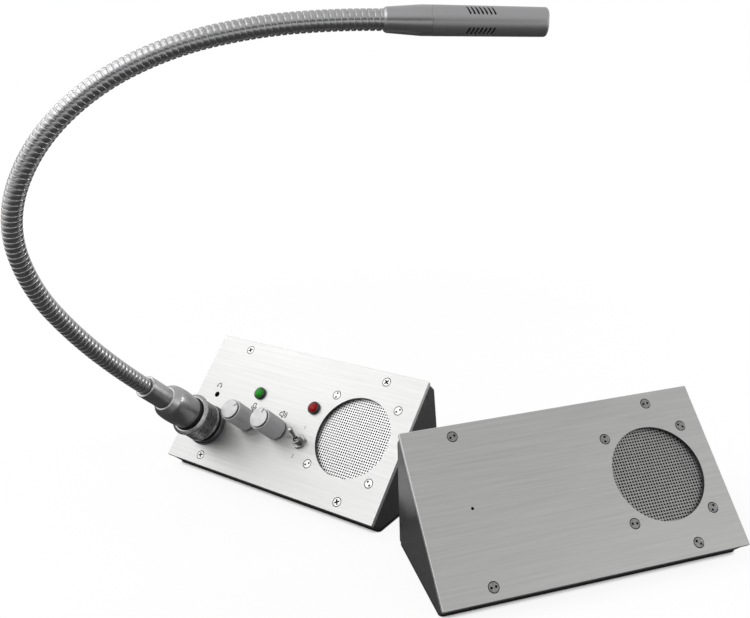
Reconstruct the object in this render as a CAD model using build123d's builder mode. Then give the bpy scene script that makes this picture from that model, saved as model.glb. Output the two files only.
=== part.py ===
from build123d import *
import os
from math import cos, radians, sin

# Teller window intercom: two wedge-shaped desk stations, one with a gooseneck microphone.
# Millimetres, +Z up.  The origin is the centre of the teller station's flat underside,
# and the teller's front plate looks towards -Y and up.

os.makedirs("parts", exist_ok=True)

# ---------------------------------------------------------------- driving dimensions
# Front plate and folded housing, the same on both stations
PLATE_W = 209.5          # front plate, 8 1/4 in wide
PLATE_H = 112.0
PLATE_T = 3.2            # 1/8 in stainless sheet
PLATE_CORNER_R = 0.8
PLATE_CHAMFER = 0.3
SLOPE = 45.0             # the plate leans back by this much from the desk
SHEET = 1.5              # housing sheet thickness
SIDE_REVEAL = 1.0        # plate stands past the housing's sides
END_REVEAL = 0.3         # and past its top and bottom
LIP = 11.7               # front lip, from the plate's back down to the underside
TOP_LIP = 10.8           # top lip, from the plate's back to the rear wall
BASE_DEPTH = 83.2        # flat underside, front to back
BEND_R = 2.5             # outside radius of the folded edges
FLANGE_SIDE = 8.0        # return flange under the plate at the sides
FLANGE_END = 13.0        # and at the top and bottom

# Screws, nuts and base pads
SCREW_R = 1.75           # number 6 machine screws
SCREW_HEAD_R = 3.6
SCREW_HEAD_H = 2.1
SCREW_GAP = 0.15         # hole over screw, on radius
CSK_GAP = 0.05           # countersink over head, on radius
CORNER_PITCH_X = 140.6
CORNER_INSET_Y = 8.0     # corner screws, in from the plate's top and bottom
CORNER_SCREW_L = 9.4
SPEAKER_SCREW_L = 10.4
SPANNER_HOLE_R = 0.6
SPANNER_PITCH = 3.2
SPANNER_DEPTH = 1.2
CROSS_W = 1.0
CROSS_L = 4.2
CROSS_DEPTH = 1.5
NUT_AF = 7.9
NUT_T = 2.6
PAD_T = 1.5              # non-slip pad under the whole underside
PAD_INSET = 6.0
PAD_CORNER_R = 4.0

# Speaker, behind a round opening in the plate
SPEAKER_X = 60.8
SPEAKER_Y = 0.0
OPENING_R = 31.9
SPEAKER_PITCH = 57.15
SPEAKER_SQUARE = 66.0
SPEAKER_CORNER_R = 5.0
GRILLE_T = 0.8
GASKET_T = 1.0
GASKET_BORE_R = 28.5
FRAME_T = 1.0
BASKET_TOP_R = 30.0
BASKET_BOTTOM_R = 18.0
BASKET_H = 14.5
MAGNET_R = 17.5
MAGNET_H = 8.0
POLE_R = 15.0
POLE_T = 2.2

# Controls on the teller's plate, from the plate's centre
TALK_X = -39.8
LISTEN_X = -8.8
KNOB_Y = -10.5
LAMP_Y = 13.8
GREEN_X = -39.3
RED_X = 17.4
MUTE_X = 17.4
MUTE_Y = -14.4
JACK_X = -83.1
JACK_Y = 3.6
MIC_X = -76.7            # microphone connector
MIC_Y = -23.6
PINHOLE_X = -70.0        # customer station's microphone hole
PINHOLE_Y = 0.3
PINHOLE_R = 1.0

# Knobs, potentiometers
KNOB_R = 8.8
KNOB_FOOT = 1.0          # gap between plate and knob
KNOB_H = 23.6
KNOB_CAP_H = 2.2
KNOB_GROOVE_H = 1.2
KNOB_GROOVE_R = 8.1
KNOB_CHAMFER = 0.6
KNOB_RECESS_R = 6.8
KNOB_RECESS_H = 5.8
INDEX_W = 0.7
INDEX_DEPTH = 0.4
TALK_INDEX = -45.0       # index lines, degrees from twelve o'clock, clockwise negative
LISTEN_INDEX = -13.0
SHAFT_R = 3.0
SHAFT_GAP = 0.05
SHAFT_TOP = 20.0
SHAFT_IN = 9.0           # shaft reaches this far behind the plate's face
POT_R = 8.0
BUSHING_R = 3.5
BUSHING_TOP = 5.4
POT_NUT_AF = 10.0
POT_NUT_T = 2.0

# Lamps
BEZEL_R = 5.65
BEZEL_H = 3.0
BEZEL_BODY_R = 3.9
BEZEL_BODY_L = 8.0
LENS_R = 4.25
LENS_SEAT = 0.8
LENS_TOP = 5.2
LENS_STEM_R = 2.5
LENS_STEM_L = 10.0
FIT_GAP = 0.1            # bodies in their plate holes, on radius

# Toggle switch
SWITCH_W = 13.0
SWITCH_BUSH_R = 3.1
SWITCH_BUSH_TOP = 6.4
SWITCH_NUT_AF = 10.2
SWITCH_NUT_T = 2.4
LEVER_BALL_R = 2.4
LEVER_PIVOT = 4.2        # height of the ball over the plate
LEVER_L = 14.2
LEVER_ROOT_R = 1.1
LEVER_TIP_R = 1.5
LEVER_TILT = 16.5        # the lever rests tilted up the plate

# Headset jack
JACK_HOLE_R = 2.4
JACK_BORE_R = 1.8
JACK_BODY_R = 4.5
JACK_BODY_L = 13.0

# Microphone connector, heights over the plate
SOCKET_FLANGE_R = 16.8
SOCKET_FLANGE_H = 4.0
SOCKET_BARREL_R = 13.6
SOCKET_BARREL_TOP = 21.0
SOCKET_BODY_R = 12.8
SOCKET_BODY_L = 11.0
SOCKET_NUT_AF = 29.5
SOCKET_NUT_T = 3.0
RING_R = 16.1
RING_BOTTOM = 7.0
RING_TOP = 26.0
RING_BAND_R = 15.8
RING_NOSE_R = 14.9
RING_GAP = 0.3           # thread clearance, and round the plug's flange
PLUG_FLANGE_R = 14.6
PLUG_FLANGE_T = 1.2
SOCKET_RECESS_R = 10.6
SOCKET_RECESS_H = 6.0
SPIGOT_R = 10.3
SPIGOT_L = 5.0
PLUG_CORE_R = 12.3
GASKET_R = 13.3
GASKET_TOP = 29.0
SHELL_R = 13.2
SHELL_BELLY_R = 13.9
SHELL_TOP = 57.5
SLEEVE_WALL = 2.35       # round the hose
SLEEVE_BOTTOM = 50.0
SLEEVE_TOP = 80.0

# Gooseneck: a chain of equal arcs, each bent by its own turn; the plane of the bend is
# rolled about the neck between one arc and the next
NECK_R = 6.35            # 1/2 in steel hose
NECK_BORE_R = 4.2
NECK_LENGTH = 456.1
NECK_TURNS = (5.2, 7.7, 19.3, 30.8, 24.8, 17.6, 12.8, 8.3, 4.3)
NECK_ROLLS = (-163.8, -45.9, -9.7, 5.6, 2.0, -27.3, -10.8, -5.0, -8.1)
NECK_SEAT_START = 16.0   # straight stub held in the sleeve
NECK_SEAT_END = 8.0      # straight stub held in the microphone's collar
SOCKET_CLEARANCE = 0.3   # round each ball joint

# Microphone, lengths from the neck's end
COLLAR_WALL = 0.85       # round the hose, at the collar's thin end
MIC_R = 8.85
MIC_TIP_R = 8.5
MIC_WALL = 1.2
COLLAR_TAPER_L = 22.0
COLLAR_L = 28.0
BARREL_END = 92.5
MIC_LENGTH = 97.0
MIC_NOSE_R = 3.0
SLOT_COUNT = 7
SLOT_PITCH = 2.5
SLOT_W = 0.9
SLOT_L = 7.0
SLOT_SLANT = 20.0
SLOT_CENTRE = 57.5
SLOT_ROWS = 4
CAPSULE_R = 7.1
CAPSULE_L = 14.0

# Rear sockets, measured on the rear wall
REAR_Y = 26.0            # height up the rear wall
INLET_X = 62.0
LINK_X = 30.0
INLET_R = 5.5
INLET_FLANGE_R = 6.8
INLET_BORE_R = 3.2
INLET_PIN_R = 1.05
LINK_W = 16.0
LINK_H = 14.0
LINK_L = 15.0
LINK_CAVITY_W = 11.8
LINK_CAVITY_H = 8.4
LINK_CAVITY_L = 12.5

# Amplifier board
BOARD_X = -17.0
BOARD_W = 78.0
BOARD_H = 70.0
BOARD_T = 1.6
BOARD_DEPTH = 16.0       # from the plate's face
STANDOFF_R = 2.75
STANDOFF_INSET = 4.0

# Where the customer station stands beside the teller station: the middle of its near end,
# from the middle of the teller's right-hand end
CUSTOMER_GAP_X = 48.8867
CUSTOMER_GAP_Y = -71.4909
CUSTOMER_TURN = 50.9

# ---------------------------------------------------------------- derived places
UP = (cos(radians(SLOPE)), sin(radians(SLOPE)))       # up the plate, in (y, z)
OUT = (-sin(radians(SLOPE)), cos(radians(SLOPE)))     # out of the plate, in (y, z)
EDGE_Y = -BASE_DEPTH / 2 - END_REVEAL * UP[0] + (PLATE_T + LIP) * OUT[0]
EDGE_Z = PAD_T - END_REVEAL * UP[1] + (PLATE_T + LIP) * OUT[1]
HOUSING_W = PLATE_W - 2 * SIDE_REVEAL
CORNER_PITCH_Y = PLATE_H - 2 * CORNER_INSET_Y
SLEEVE_R = NECK_R + SLEEVE_WALL
COLLAR_R = NECK_R + COLLAR_WALL
CUSTOMER_X = PLATE_W / 2 + CUSTOMER_GAP_X + PLATE_W / 2 * cos(radians(CUSTOMER_TURN))
CUSTOMER_Y = CUSTOMER_GAP_Y + PLATE_W / 2 * sin(radians(CUSTOMER_TURN))


def on_side(up, out):
    """Side-view place (y, z) of a point 'up' the plate from its bottom edge and 'out' of it."""
    return (EDGE_Y + up * UP[0] + out * OUT[0], EDGE_Z + up * UP[1] + out * OUT[1])


FACE_Y, FACE_Z = on_side(PLATE_H / 2, 0)
FACE = Plane(origin=(0, FACE_Y, FACE_Z), x_dir=(1, 0, 0), z_dir=(0, OUT[0], OUT[1]))
BACK = FACE.offset(-PLATE_T)
BEHIND_GRILLE = FACE.offset(-PLATE_T - GRILLE_T)
BEHIND_GASKET = FACE.offset(-PLATE_T - GRILLE_T - GASKET_T)
BEHIND_FRAME = FACE.offset(-PLATE_T - GRILLE_T - GASKET_T - FRAME_T)

LIP_FRONT = on_side(END_REVEAL, -PLATE_T)
LIP_BOTTOM = on_side(END_REVEAL, -PLATE_T - LIP)
REAR_BOTTOM = (BASE_DEPTH / 2, PAD_T)
REAR_TOP = on_side(PLATE_H - END_REVEAL, -PLATE_T - TOP_LIP)
LIP_TOP = on_side(PLATE_H - END_REVEAL, -PLATE_T)
SIDE_OUTLINE = [LIP_FRONT, LIP_BOTTOM, REAR_BOTTOM, REAR_TOP, LIP_TOP]

REAR_RUN = Vector(0, REAR_TOP[0] - REAR_BOTTOM[0], REAR_TOP[1] - REAR_BOTTOM[1]).normalized()
REAR = Plane(
    origin=Vector(0, REAR_BOTTOM[0], REAR_BOTTOM[1]) + REAR_RUN * REAR_Y,
    x_dir=(-1, 0, 0),
    z_dir=(0, REAR_RUN.Z, -REAR_RUN.Y),
)

TELLER_PLACE = Location((0, 0, 0))
CUSTOMER_PLACE = Location((CUSTOMER_X, CUSTOMER_Y, 0), (0, 0, CUSTOMER_TURN))

CORNERS = [
    (x * CORNER_PITCH_X / 2, y * CORNER_PITCH_Y / 2) for y in (1, -1) for x in (-1, 1)
]
SPEAKER_CORNERS = [
    (SPEAKER_X + x * SPEAKER_PITCH / 2, SPEAKER_Y + y * SPEAKER_PITCH / 2)
    for y in (1, -1)
    for x in (-1, 1)
]
# How the two-hole heads happen to be turned, top left, top right, bottom left, bottom right
CUSTOMER_CORNER_TURNS = (20, 5, 5, -40)
CUSTOMER_SPEAKER_TURNS = (80, -35, -5, 60)
TELLER_SPEAKER_TURNS = (88, 45, 35, -45)
TELLER_CORNER_TURNS = (25, 50, 20, 30)


def seat_at(plane, x, y):
    """A plane parallel to 'plane', with its origin at the local point (x, y)."""
    return Plane(origin=plane.from_local_coords((x, y, 0)), x_dir=plane.x_dir, z_dir=plane.z_dir)


def spun(plane, angle):
    """The same plane turned about its own normal."""
    x_dir = plane.x_dir.rotate(Axis((0, 0, 0), plane.z_dir), angle)
    return Plane(origin=plane.origin, x_dir=x_dir, z_dir=plane.z_dir)


def turned(seat, outline):
    """Lathe work: an outline of (radius, height) points spun about the seat's normal."""
    section = Plane(origin=seat.origin, x_dir=seat.x_dir, z_dir=-seat.y_dir)
    with BuildPart() as piece:
        with BuildSketch(section):
            with BuildLine():
                Polyline(*outline, close=True)
            make_face()
        revolve(axis=Axis(seat.origin, seat.z_dir))
    return piece.part


def hex_ring(seat, across_flats, bore_r, thickness):
    """A plain hexagon nut, standing on the seat."""
    with BuildPart() as piece:
        with BuildSketch(seat):
            RegularPolygon(across_flats / 2, 6, major_radius=False)
            Circle(bore_r, mode=Mode.SUBTRACT)
        extrude(amount=thickness)
    return piece.part


def group(pieces):
    """Several separate solids kept together as one node."""
    with BuildPart() as batch:
        for piece in pieces:
            add(piece)
    return batch.part


def write(name, part):
    part.label = name
    export_step(part, f"parts/{name}.step")


# ---------------------------------------------------------------- station shell
def front_plate(round_holes):
    """Brushed plate with its speaker opening, countersunk screw holes and (x, y, r) holes."""
    hole_r = SCREW_R + SCREW_GAP
    with BuildPart(FACE) as plate:
        with BuildSketch(FACE):
            RectangleRounded(PLATE_W, PLATE_H, PLATE_CORNER_R)
        extrude(amount=-PLATE_T)
        front = plate.faces().sort_by(Axis(FACE.origin, FACE.z_dir))[-1]
        chamfer(front.outer_wire().edges(), PLATE_CHAMFER)
        with BuildSketch(FACE):
            with Locations((SPEAKER_X, SPEAKER_Y)):
                Circle(OPENING_R)
            for x, y, r in round_holes:
                with Locations((x, y)):
                    Circle(r)
        extrude(amount=-PLATE_T, mode=Mode.SUBTRACT)
        for x, y in CORNERS + SPEAKER_CORNERS:
            seat = seat_at(FACE, x, y)
            section = Plane(origin=seat.origin, x_dir=seat.x_dir, z_dir=-seat.y_dir)
            with BuildSketch(section):
                with BuildLine():
                    Polyline(
                        (0, 0.1),
                        (SCREW_HEAD_R + CSK_GAP, 0.1),
                        (SCREW_HEAD_R + CSK_GAP, 0),
                        (hole_r, -SCREW_HEAD_H),
                        (hole_r, -PLATE_T - 0.1),
                        (0, -PLATE_T - 0.1),
                        close=True,
                    )
                make_face()
            revolve(axis=Axis(seat.origin, seat.z_dir), mode=Mode.SUBTRACT)
    return plate.part


def housing(rear_cuts):
    """Folded sheet housing: closed sides, front and top lips, return flange under the plate."""
    with BuildPart() as shell:
        with BuildSketch(Plane.YZ):
            with BuildLine():
                Polyline(*SIDE_OUTLINE, close=True)
            make_face()
        extrude(amount=HOUSING_W / 2, both=True)
        fillet(shell.edges().filter_by(Axis.X), BEND_R)
        front = shell.faces().sort_by(Axis(FACE.origin, FACE.z_dir))[-1]
        side_edges = front.edges().filter_by(Axis.X, reverse=True)
        fillet(side_edges, BEND_R)
        with BuildSketch(Plane.YZ):
            with BuildLine():
                Polyline(*SIDE_OUTLINE, close=True)
            make_face()
            fillet(vertices(), BEND_R)
            offset(amount=-SHEET, mode=Mode.REPLACE)
        extrude(amount=HOUSING_W / 2 - SHEET, both=True, mode=Mode.SUBTRACT)
        with BuildSketch(BACK):
            RectangleRounded(HOUSING_W - 2 * FLANGE_SIDE, PLATE_H - 2 * FLANGE_END, 3)
        extrude(amount=-2 * SHEET, mode=Mode.SUBTRACT)
        with BuildSketch(BACK):
            with Locations(*CORNERS):
                Circle(SCREW_R + SCREW_GAP)
        extrude(amount=-2 * SHEET, mode=Mode.SUBTRACT)
        with BuildSketch(REAR.offset(1)):
            for kind, x in rear_cuts:
                with Locations((x, 0)):
                    if kind == "round":
                        Circle(INLET_R + FIT_GAP)
                    else:
                        Rectangle(LINK_W + 2 * FIT_GAP, LINK_H + 2 * FIT_GAP)
        extrude(amount=-2 * SHEET - 1, mode=Mode.SUBTRACT)
    return shell.part


# ---------------------------------------------------------------- fasteners
def flat_head_screw(x, y, length):
    """Countersunk machine screw, flush with the plate's face."""
    return turned(
        seat_at(FACE, x, y),
        [(0, 0), (SCREW_HEAD_R, 0), (SCREW_R, -SCREW_HEAD_H), (SCREW_R, -length), (0, -length)],
    )


def spanner_screw(x, y, length, turn):
    """Tamper-resistant screw: two blind holes across the head."""
    with BuildPart() as screw:
        add(flat_head_screw(x, y, length))
        with BuildSketch(seat_at(FACE, x, y)):
            with PolarLocations(SPANNER_PITCH / 2, 2, start_angle=turn):
                Circle(SPANNER_HOLE_R)
        extrude(amount=-SPANNER_DEPTH, mode=Mode.SUBTRACT)
    return screw.part


def cross_screw(x, y, length, turn):
    """Cross-recess screw: two crossed slots that narrow with depth."""
    with BuildPart() as screw:
        add(flat_head_screw(x, y, length))
        with BuildSketch(seat_at(FACE, x, y)):
            with Locations(Location((0, 0, 0), (0, 0, turn))):
                Rectangle(CROSS_L, CROSS_W)
                Rectangle(CROSS_W, CROSS_L)
        extrude(amount=-CROSS_DEPTH, taper=12, mode=Mode.SUBTRACT)
    return screw.part


def corner_nuts():
    inner = FACE.offset(-PLATE_T - SHEET - NUT_T)
    return group([hex_ring(seat_at(inner, x, y), NUT_AF, SCREW_R, NUT_T) for x, y in CORNERS])


def speaker_nuts():
    inner = BEHIND_FRAME.offset(-NUT_T)
    return group(
        [hex_ring(seat_at(inner, x, y), NUT_AF, SCREW_R, NUT_T) for x, y in SPEAKER_CORNERS]
    )


def base_pad():
    """Non-slip pad between the housing's underside and the counter."""
    with BuildPart() as pad:
        with BuildSketch(Plane.XY):
            RectangleRounded(HOUSING_W - 2 * PAD_INSET, BASE_DEPTH - 2 * PAD_INSET, PAD_CORNER_R)
        extrude(amount=PAD_T)
    return pad.part


# ---------------------------------------------------------------- speaker
def speaker_sheet(plane, thickness, bore_r):
    """A square sheet of the speaker's stack, with its four screw holes."""
    with BuildPart() as sheet:
        with BuildSketch(plane):
            with Locations((SPEAKER_X, SPEAKER_Y)):
                RectangleRounded(SPEAKER_SQUARE, SPEAKER_SQUARE, SPEAKER_CORNER_R)
                if bore_r:
                    Circle(bore_r, mode=Mode.SUBTRACT)
            with Locations(*SPEAKER_CORNERS):
                Circle(SCREW_R + SCREW_GAP, mode=Mode.SUBTRACT)
        extrude(amount=-thickness)
    return sheet.part


def speaker_frame():
    """Pressed basket: square flange, tapered wall with four windows, flat bottom."""
    seat = seat_at(BEHIND_GASKET, SPEAKER_X, SPEAKER_Y)
    bottom = -FRAME_T - BASKET_H
    with BuildPart() as frame:
        add(
            turned(
                seat,
                [
                    (BASKET_TOP_R - 1.4, -FRAME_T / 2),
                    (BASKET_TOP_R, -FRAME_T / 2),
                    (BASKET_BOTTOM_R, bottom),
                    (7.5, bottom),
                    (7.5, bottom + FRAME_T),
                    (BASKET_BOTTOM_R - 1.2, bottom + FRAME_T),
                ],
            )
        )
        with BuildSketch(seat.offset(-FRAME_T - 2.5)):
            with PolarLocations(25, 4):
                Rectangle(12, 20)
        extrude(amount=-BASKET_H + 5.5, mode=Mode.SUBTRACT)
        add(speaker_sheet(BEHIND_GASKET, FRAME_T, BASKET_TOP_R - 1.0))
    return frame.part


def speaker_cone():
    """Paper cone with a rolled surround and a domed dust cap."""
    return turned(
        seat_at(BEHIND_GASKET, SPEAKER_X, SPEAKER_Y),
        [
            (28.2, -0.9),
            (28.2, -0.4),
            (26.4, 0.3),
            (24.6, -0.6),
            (9.0, -10.2),
            (7.6, -8.6),
            (4.0, -7.4),
            (0, -7.0),
            (0, -7.5),
            (4.0, -7.9),
            (7.3, -9.1),
            (7.0, -11.4),
            (9.2, -11.0),
            (24.6, -1.4),
            (26.4, -0.4),
        ],
    )


def speaker_magnet():
    """Front pole plate, ring magnet and back plate."""
    top = -FRAME_T - BASKET_H
    return turned(
        seat_at(BEHIND_GASKET, SPEAKER_X, SPEAKER_Y),
        [
            (0, top),
            (POLE_R, top),
            (POLE_R, top - POLE_T),
            (MAGNET_R, top - POLE_T),
            (MAGNET_R, top - POLE_T - MAGNET_H),
            (POLE_R, top - POLE_T - MAGNET_H),
            (POLE_R, top - 2 * POLE_T - MAGNET_H),
            (0, top - 2 * POLE_T - MAGNET_H),
        ],
    )


# ---------------------------------------------------------------- controls
def potentiometer(x):
    """Round body between plate and board, with its threaded bushing."""
    return turned(
        seat_at(FACE, x, KNOB_Y),
        [
            (SHAFT_R + SHAFT_GAP, BUSHING_TOP),
            (BUSHING_R, BUSHING_TOP),
            (BUSHING_R, -PLATE_T),
            (POT_R, -PLATE_T),
            (POT_R, -BOARD_DEPTH),
            (0, -BOARD_DEPTH),
            (0, -SHAFT_IN - 0.3),
            (SHAFT_R + SHAFT_GAP, -SHAFT_IN - 0.3),
        ],
    )


def pot_nut(x):
    return hex_ring(seat_at(FACE, x, KNOB_Y), POT_NUT_AF, BUSHING_R, POT_NUT_T)


def pot_shaft(x):
    return turned(
        seat_at(FACE, x, KNOB_Y),
        [(0, -SHAFT_IN), (SHAFT_R, -SHAFT_IN), (SHAFT_R, SHAFT_TOP), (0, SHAFT_TOP)],
    )


def knob(x, index):
    """Turned knob: hollow skirt over the nut, grooved under its cap, an index line on top."""
    top = KNOB_FOOT + KNOB_H
    groove_top = top - KNOB_CAP_H
    groove_bottom = groove_top - KNOB_GROOVE_H
    roof = KNOB_FOOT + KNOB_RECESS_H
    seat = seat_at(FACE, x, KNOB_Y)
    with BuildPart() as cap:
        add(
            turned(
                seat,
                [
                    (KNOB_RECESS_R, KNOB_FOOT),
                    (KNOB_R, KNOB_FOOT),
                    (KNOB_R, groove_bottom),
                    (KNOB_GROOVE_R, groove_bottom),
                    (KNOB_GROOVE_R, groove_top),
                    (KNOB_R, groove_top),
                    (KNOB_R, top - KNOB_CHAMFER),
                    (KNOB_R - KNOB_CHAMFER, top),
                    (0, top),
                    (0, SHAFT_TOP),
                    (SHAFT_R, SHAFT_TOP),
                    (SHAFT_R, roof),
                    (KNOB_RECESS_R, roof),
                ],
            )
        )
        with BuildSketch(seat.offset(top)):
            with Locations(Location((0, 0, 0), (0, 0, index))):
                with Locations((0, KNOB_R * 0.7)):
                    Rectangle(INDEX_W, KNOB_R * 0.6)
        extrude(amount=-INDEX_DEPTH, mode=Mode.SUBTRACT)
    return cap.part


def lamp_bezel(x):
    return turned(
        seat_at(FACE, x, LAMP_Y),
        [
            (LENS_R + FIT_GAP, LENS_SEAT),
            (LENS_R + FIT_GAP, BEZEL_H),
            (BEZEL_R - 0.6, BEZEL_H),
            (BEZEL_R, BEZEL_H - 0.6),
            (BEZEL_R, 0),
            (BEZEL_BODY_R, 0),
            (BEZEL_BODY_R, -BEZEL_BODY_L),
            (LENS_STEM_R + FIT_GAP, -BEZEL_BODY_L),
            (LENS_STEM_R + FIT_GAP, LENS_SEAT),
        ],
    )


def lamp_lens(x):
    """Domed lens with its lamp's stem behind it."""
    rise = LENS_TOP - BEZEL_H
    dome_r = (LENS_R**2 + rise**2) / (2 * rise)
    seat = seat_at(FACE, x, LAMP_Y)
    section = Plane(origin=seat.origin, x_dir=seat.x_dir, z_dir=-seat.y_dir)
    with BuildPart() as lens:
        with BuildSketch(section):
            with BuildLine():
                Polyline(
                    (0, LENS_TOP),
                    (0, -LENS_STEM_L),
                    (LENS_STEM_R, -LENS_STEM_L),
                    (LENS_STEM_R, LENS_SEAT),
                    (LENS_R, LENS_SEAT),
                    (LENS_R, BEZEL_H),
                )
                RadiusArc((LENS_R, BEZEL_H), (0, LENS_TOP), -dome_r)
            make_face()
        revolve(axis=Axis(seat.origin, seat.z_dir))
    return lens.part


def mute_switch_body():
    """Square switch case with its threaded bushing, bored for the lever's ball."""
    seat = seat_at(FACE, MUTE_X, MUTE_Y)
    with BuildPart() as body:
        with BuildSketch(seat.offset(-PLATE_T)):
            Rectangle(SWITCH_W, SWITCH_W)
        extrude(amount=-(BOARD_DEPTH - PLATE_T))
        with BuildSketch(seat.offset(-PLATE_T)):
            Circle(SWITCH_BUSH_R)
        extrude(amount=PLATE_T + SWITCH_BUSH_TOP)
        with BuildSketch(seat.offset(SWITCH_BUSH_TOP)):
            Circle(LEVER_BALL_R + SHAFT_GAP)
        extrude(amount=-(SWITCH_BUSH_TOP - LEVER_PIVOT + LEVER_BALL_R + SHAFT_GAP), mode=Mode.SUBTRACT)
    return body.part


def mute_switch_lever():
    """Bat lever on its ball, drawn along its resting tilt."""
    seat = seat_at(FACE.offset(LEVER_PIVOT), MUTE_X, MUTE_Y)
    lean = seat.z_dir.rotate(Axis((0, 0, 0), seat.x_dir), -LEVER_TILT)
    along = Plane(origin=seat.origin, x_dir=seat.x_dir, z_dir=lean)
    with BuildPart() as lever:
        with Locations(seat.origin):
            Sphere(LEVER_BALL_R)
        add(
            turned(
                along,
                [
                    (0, 0),
                    (LEVER_ROOT_R, 0),
                    (LEVER_ROOT_R, 4.0),
                    (LEVER_TIP_R, LEVER_L - LEVER_TIP_R),
                    (LEVER_TIP_R * 0.7, LEVER_L - LEVER_TIP_R * 0.3),
                    (0, LEVER_L),
                ],
            )
        )
    return lever.part


def headset_jack():
    """Small jack behind the plate; the plug reaches it through the plate's hole."""
    return turned(
        seat_at(BACK, JACK_X, JACK_Y),
        [
            (JACK_BORE_R, 0),
            (JACK_BODY_R, 0),
            (JACK_BODY_R, -JACK_BODY_L),
            (0, -JACK_BODY_L),
            (0, -JACK_BODY_L + 1.0),
            (JACK_BORE_R, -JACK_BODY_L + 1.0),
        ],
    )


# ---------------------------------------------------------------- microphone connector
MIC_SEAT = seat_at(FACE, MIC_X, MIC_Y)


def mic_receptacle():
    """Panel half: bevelled flange, threaded barrel, body through the plate."""
    return turned(
        MIC_SEAT,
        [
            (0, SOCKET_BARREL_TOP - SOCKET_RECESS_H),
            (SOCKET_RECESS_R, SOCKET_BARREL_TOP - SOCKET_RECESS_H),
            (SOCKET_RECESS_R, SOCKET_BARREL_TOP),
            (SOCKET_BARREL_R, SOCKET_BARREL_TOP),
            (SOCKET_BARREL_R, SOCKET_FLANGE_H),
            (SOCKET_FLANGE_R - 1.2, SOCKET_FLANGE_H),
            (SOCKET_FLANGE_R, SOCKET_FLANGE_H - 1.2),
            (SOCKET_FLANGE_R, 0),
            (SOCKET_BODY_R, 0),
            (SOCKET_BODY_R, -SOCKET_BODY_L),
            (0, -SOCKET_BODY_L),
        ],
    )


def receptacle_nut():
    inner = FACE.offset(-PLATE_T - SOCKET_NUT_T)
    return hex_ring(seat_at(inner, MIC_X, MIC_Y), SOCKET_NUT_AF, SOCKET_BODY_R, SOCKET_NUT_T)


def coupling_ring():
    """Knurled nut that draws the plug onto the receptacle: band, two rims, nose, inner groove."""
    bore = SOCKET_BARREL_R + RING_GAP
    groove_r = PLUG_FLANGE_R + RING_GAP
    groove_bottom = SOCKET_BARREL_TOP - RING_GAP
    groove_top = SOCKET_BARREL_TOP + PLUG_FLANGE_T + RING_GAP
    return turned(
        MIC_SEAT,
        [
            (bore, RING_BOTTOM),
            (RING_R - 0.4, RING_BOTTOM),
            (RING_R, RING_BOTTOM + 0.4),
            (RING_R, RING_BOTTOM + 2.0),
            (RING_BAND_R, RING_BOTTOM + 2.4),
            (RING_BAND_R, RING_TOP - 4.6),
            (RING_R, RING_TOP - 4.2),
            (RING_R, RING_TOP - 1.6),
            (RING_NOSE_R, RING_TOP),
            (bore, RING_TOP),
            (bore, groove_top),
            (groove_r, groove_top),
            (groove_r, groove_bottom),
            (bore, groove_bottom),
        ],
    )


def mic_plug_shell():
    """Plug half: retained flange, core, rounded shell and a bore for the neck's sleeve."""
    seat = MIC_SEAT
    section = Plane(origin=seat.origin, x_dir=seat.x_dir, z_dir=-seat.y_dir)
    foot = SOCKET_BARREL_TOP
    bore = SLEEVE_R
    with BuildPart() as shell:
        with BuildSketch(section):
            with BuildLine():
                Polyline(
                    (0, foot - SPIGOT_L),
                    (SPIGOT_R, foot - SPIGOT_L),
                    (SPIGOT_R, foot),
                    (PLUG_FLANGE_R, foot),
                    (PLUG_FLANGE_R, foot + PLUG_FLANGE_T),
                    (PLUG_CORE_R, foot + PLUG_FLANGE_T),
                    (PLUG_CORE_R, GASKET_TOP),
                    (SHELL_R, GASKET_TOP),
                )
                Spline(
                    (SHELL_R, GASKET_TOP),
                    (SHELL_BELLY_R, GASKET_TOP + 13),
                    (SHELL_R - 0.6, SHELL_TOP - 6),
                    (bore + 0.9, SHELL_TOP),
                )
                Polyline(
                    (bore + 0.9, SHELL_TOP),
                    (bore, SHELL_TOP),
                    (bore, SLEEVE_BOTTOM),
                    (0, SLEEVE_BOTTOM),
                    (0, foot - SPIGOT_L),
                )
            make_face()
        revolve(axis=Axis(seat.origin, seat.z_dir))
    return shell.part


def plug_gasket():
    foot = SOCKET_BARREL_TOP + PLUG_FLANGE_T
    return turned(
        MIC_SEAT,
        [
            (PLUG_CORE_R, foot),
            (GASKET_R, foot),
            (GASKET_R, GASKET_TOP - 0.6),
            (GASKET_R - 0.5, GASKET_TOP),
            (PLUG_CORE_R, GASKET_TOP),
        ],
    )


def neck_sleeve():
    """Long collar that grips the gooseneck's first turns."""
    return turned(
        MIC_SEAT,
        [
            (0, SLEEVE_BOTTOM),
            (SLEEVE_R, SLEEVE_BOTTOM),
            (SLEEVE_R, SLEEVE_TOP - 0.5),
            (SLEEVE_R - 0.5, SLEEVE_TOP),
            (NECK_R, SLEEVE_TOP),
            (NECK_R, SLEEVE_TOP - NECK_SEAT_START),
            (0, SLEEVE_TOP - NECK_SEAT_START),
        ],
    )


# ---------------------------------------------------------------- gooseneck
def neck_chain():
    """Start plane of every link and of the neck's end.

    A plane's z runs along the neck and its x is the axis the link bends about.
    """
    start = MIC_SEAT.offset(SLEEVE_TOP)
    run = NECK_LENGTH / len(NECK_TURNS)
    planes = []
    here = start
    for turn, roll in zip(NECK_TURNS, NECK_ROLLS):
        here = spun(here, roll)
        planes.append(here)
        angle = radians(turn)
        radius = run / angle
        rise = radius * sin(angle)
        drift = radius * (1 - cos(angle))
        origin = here.origin + here.z_dir * rise - here.y_dir * drift
        direction = here.z_dir * cos(angle) - here.y_dir * sin(angle)
        here = Plane(origin=origin, x_dir=here.x_dir, z_dir=direction)
    planes.append(here)
    return planes


NECK_PLANES = neck_chain()


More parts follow.
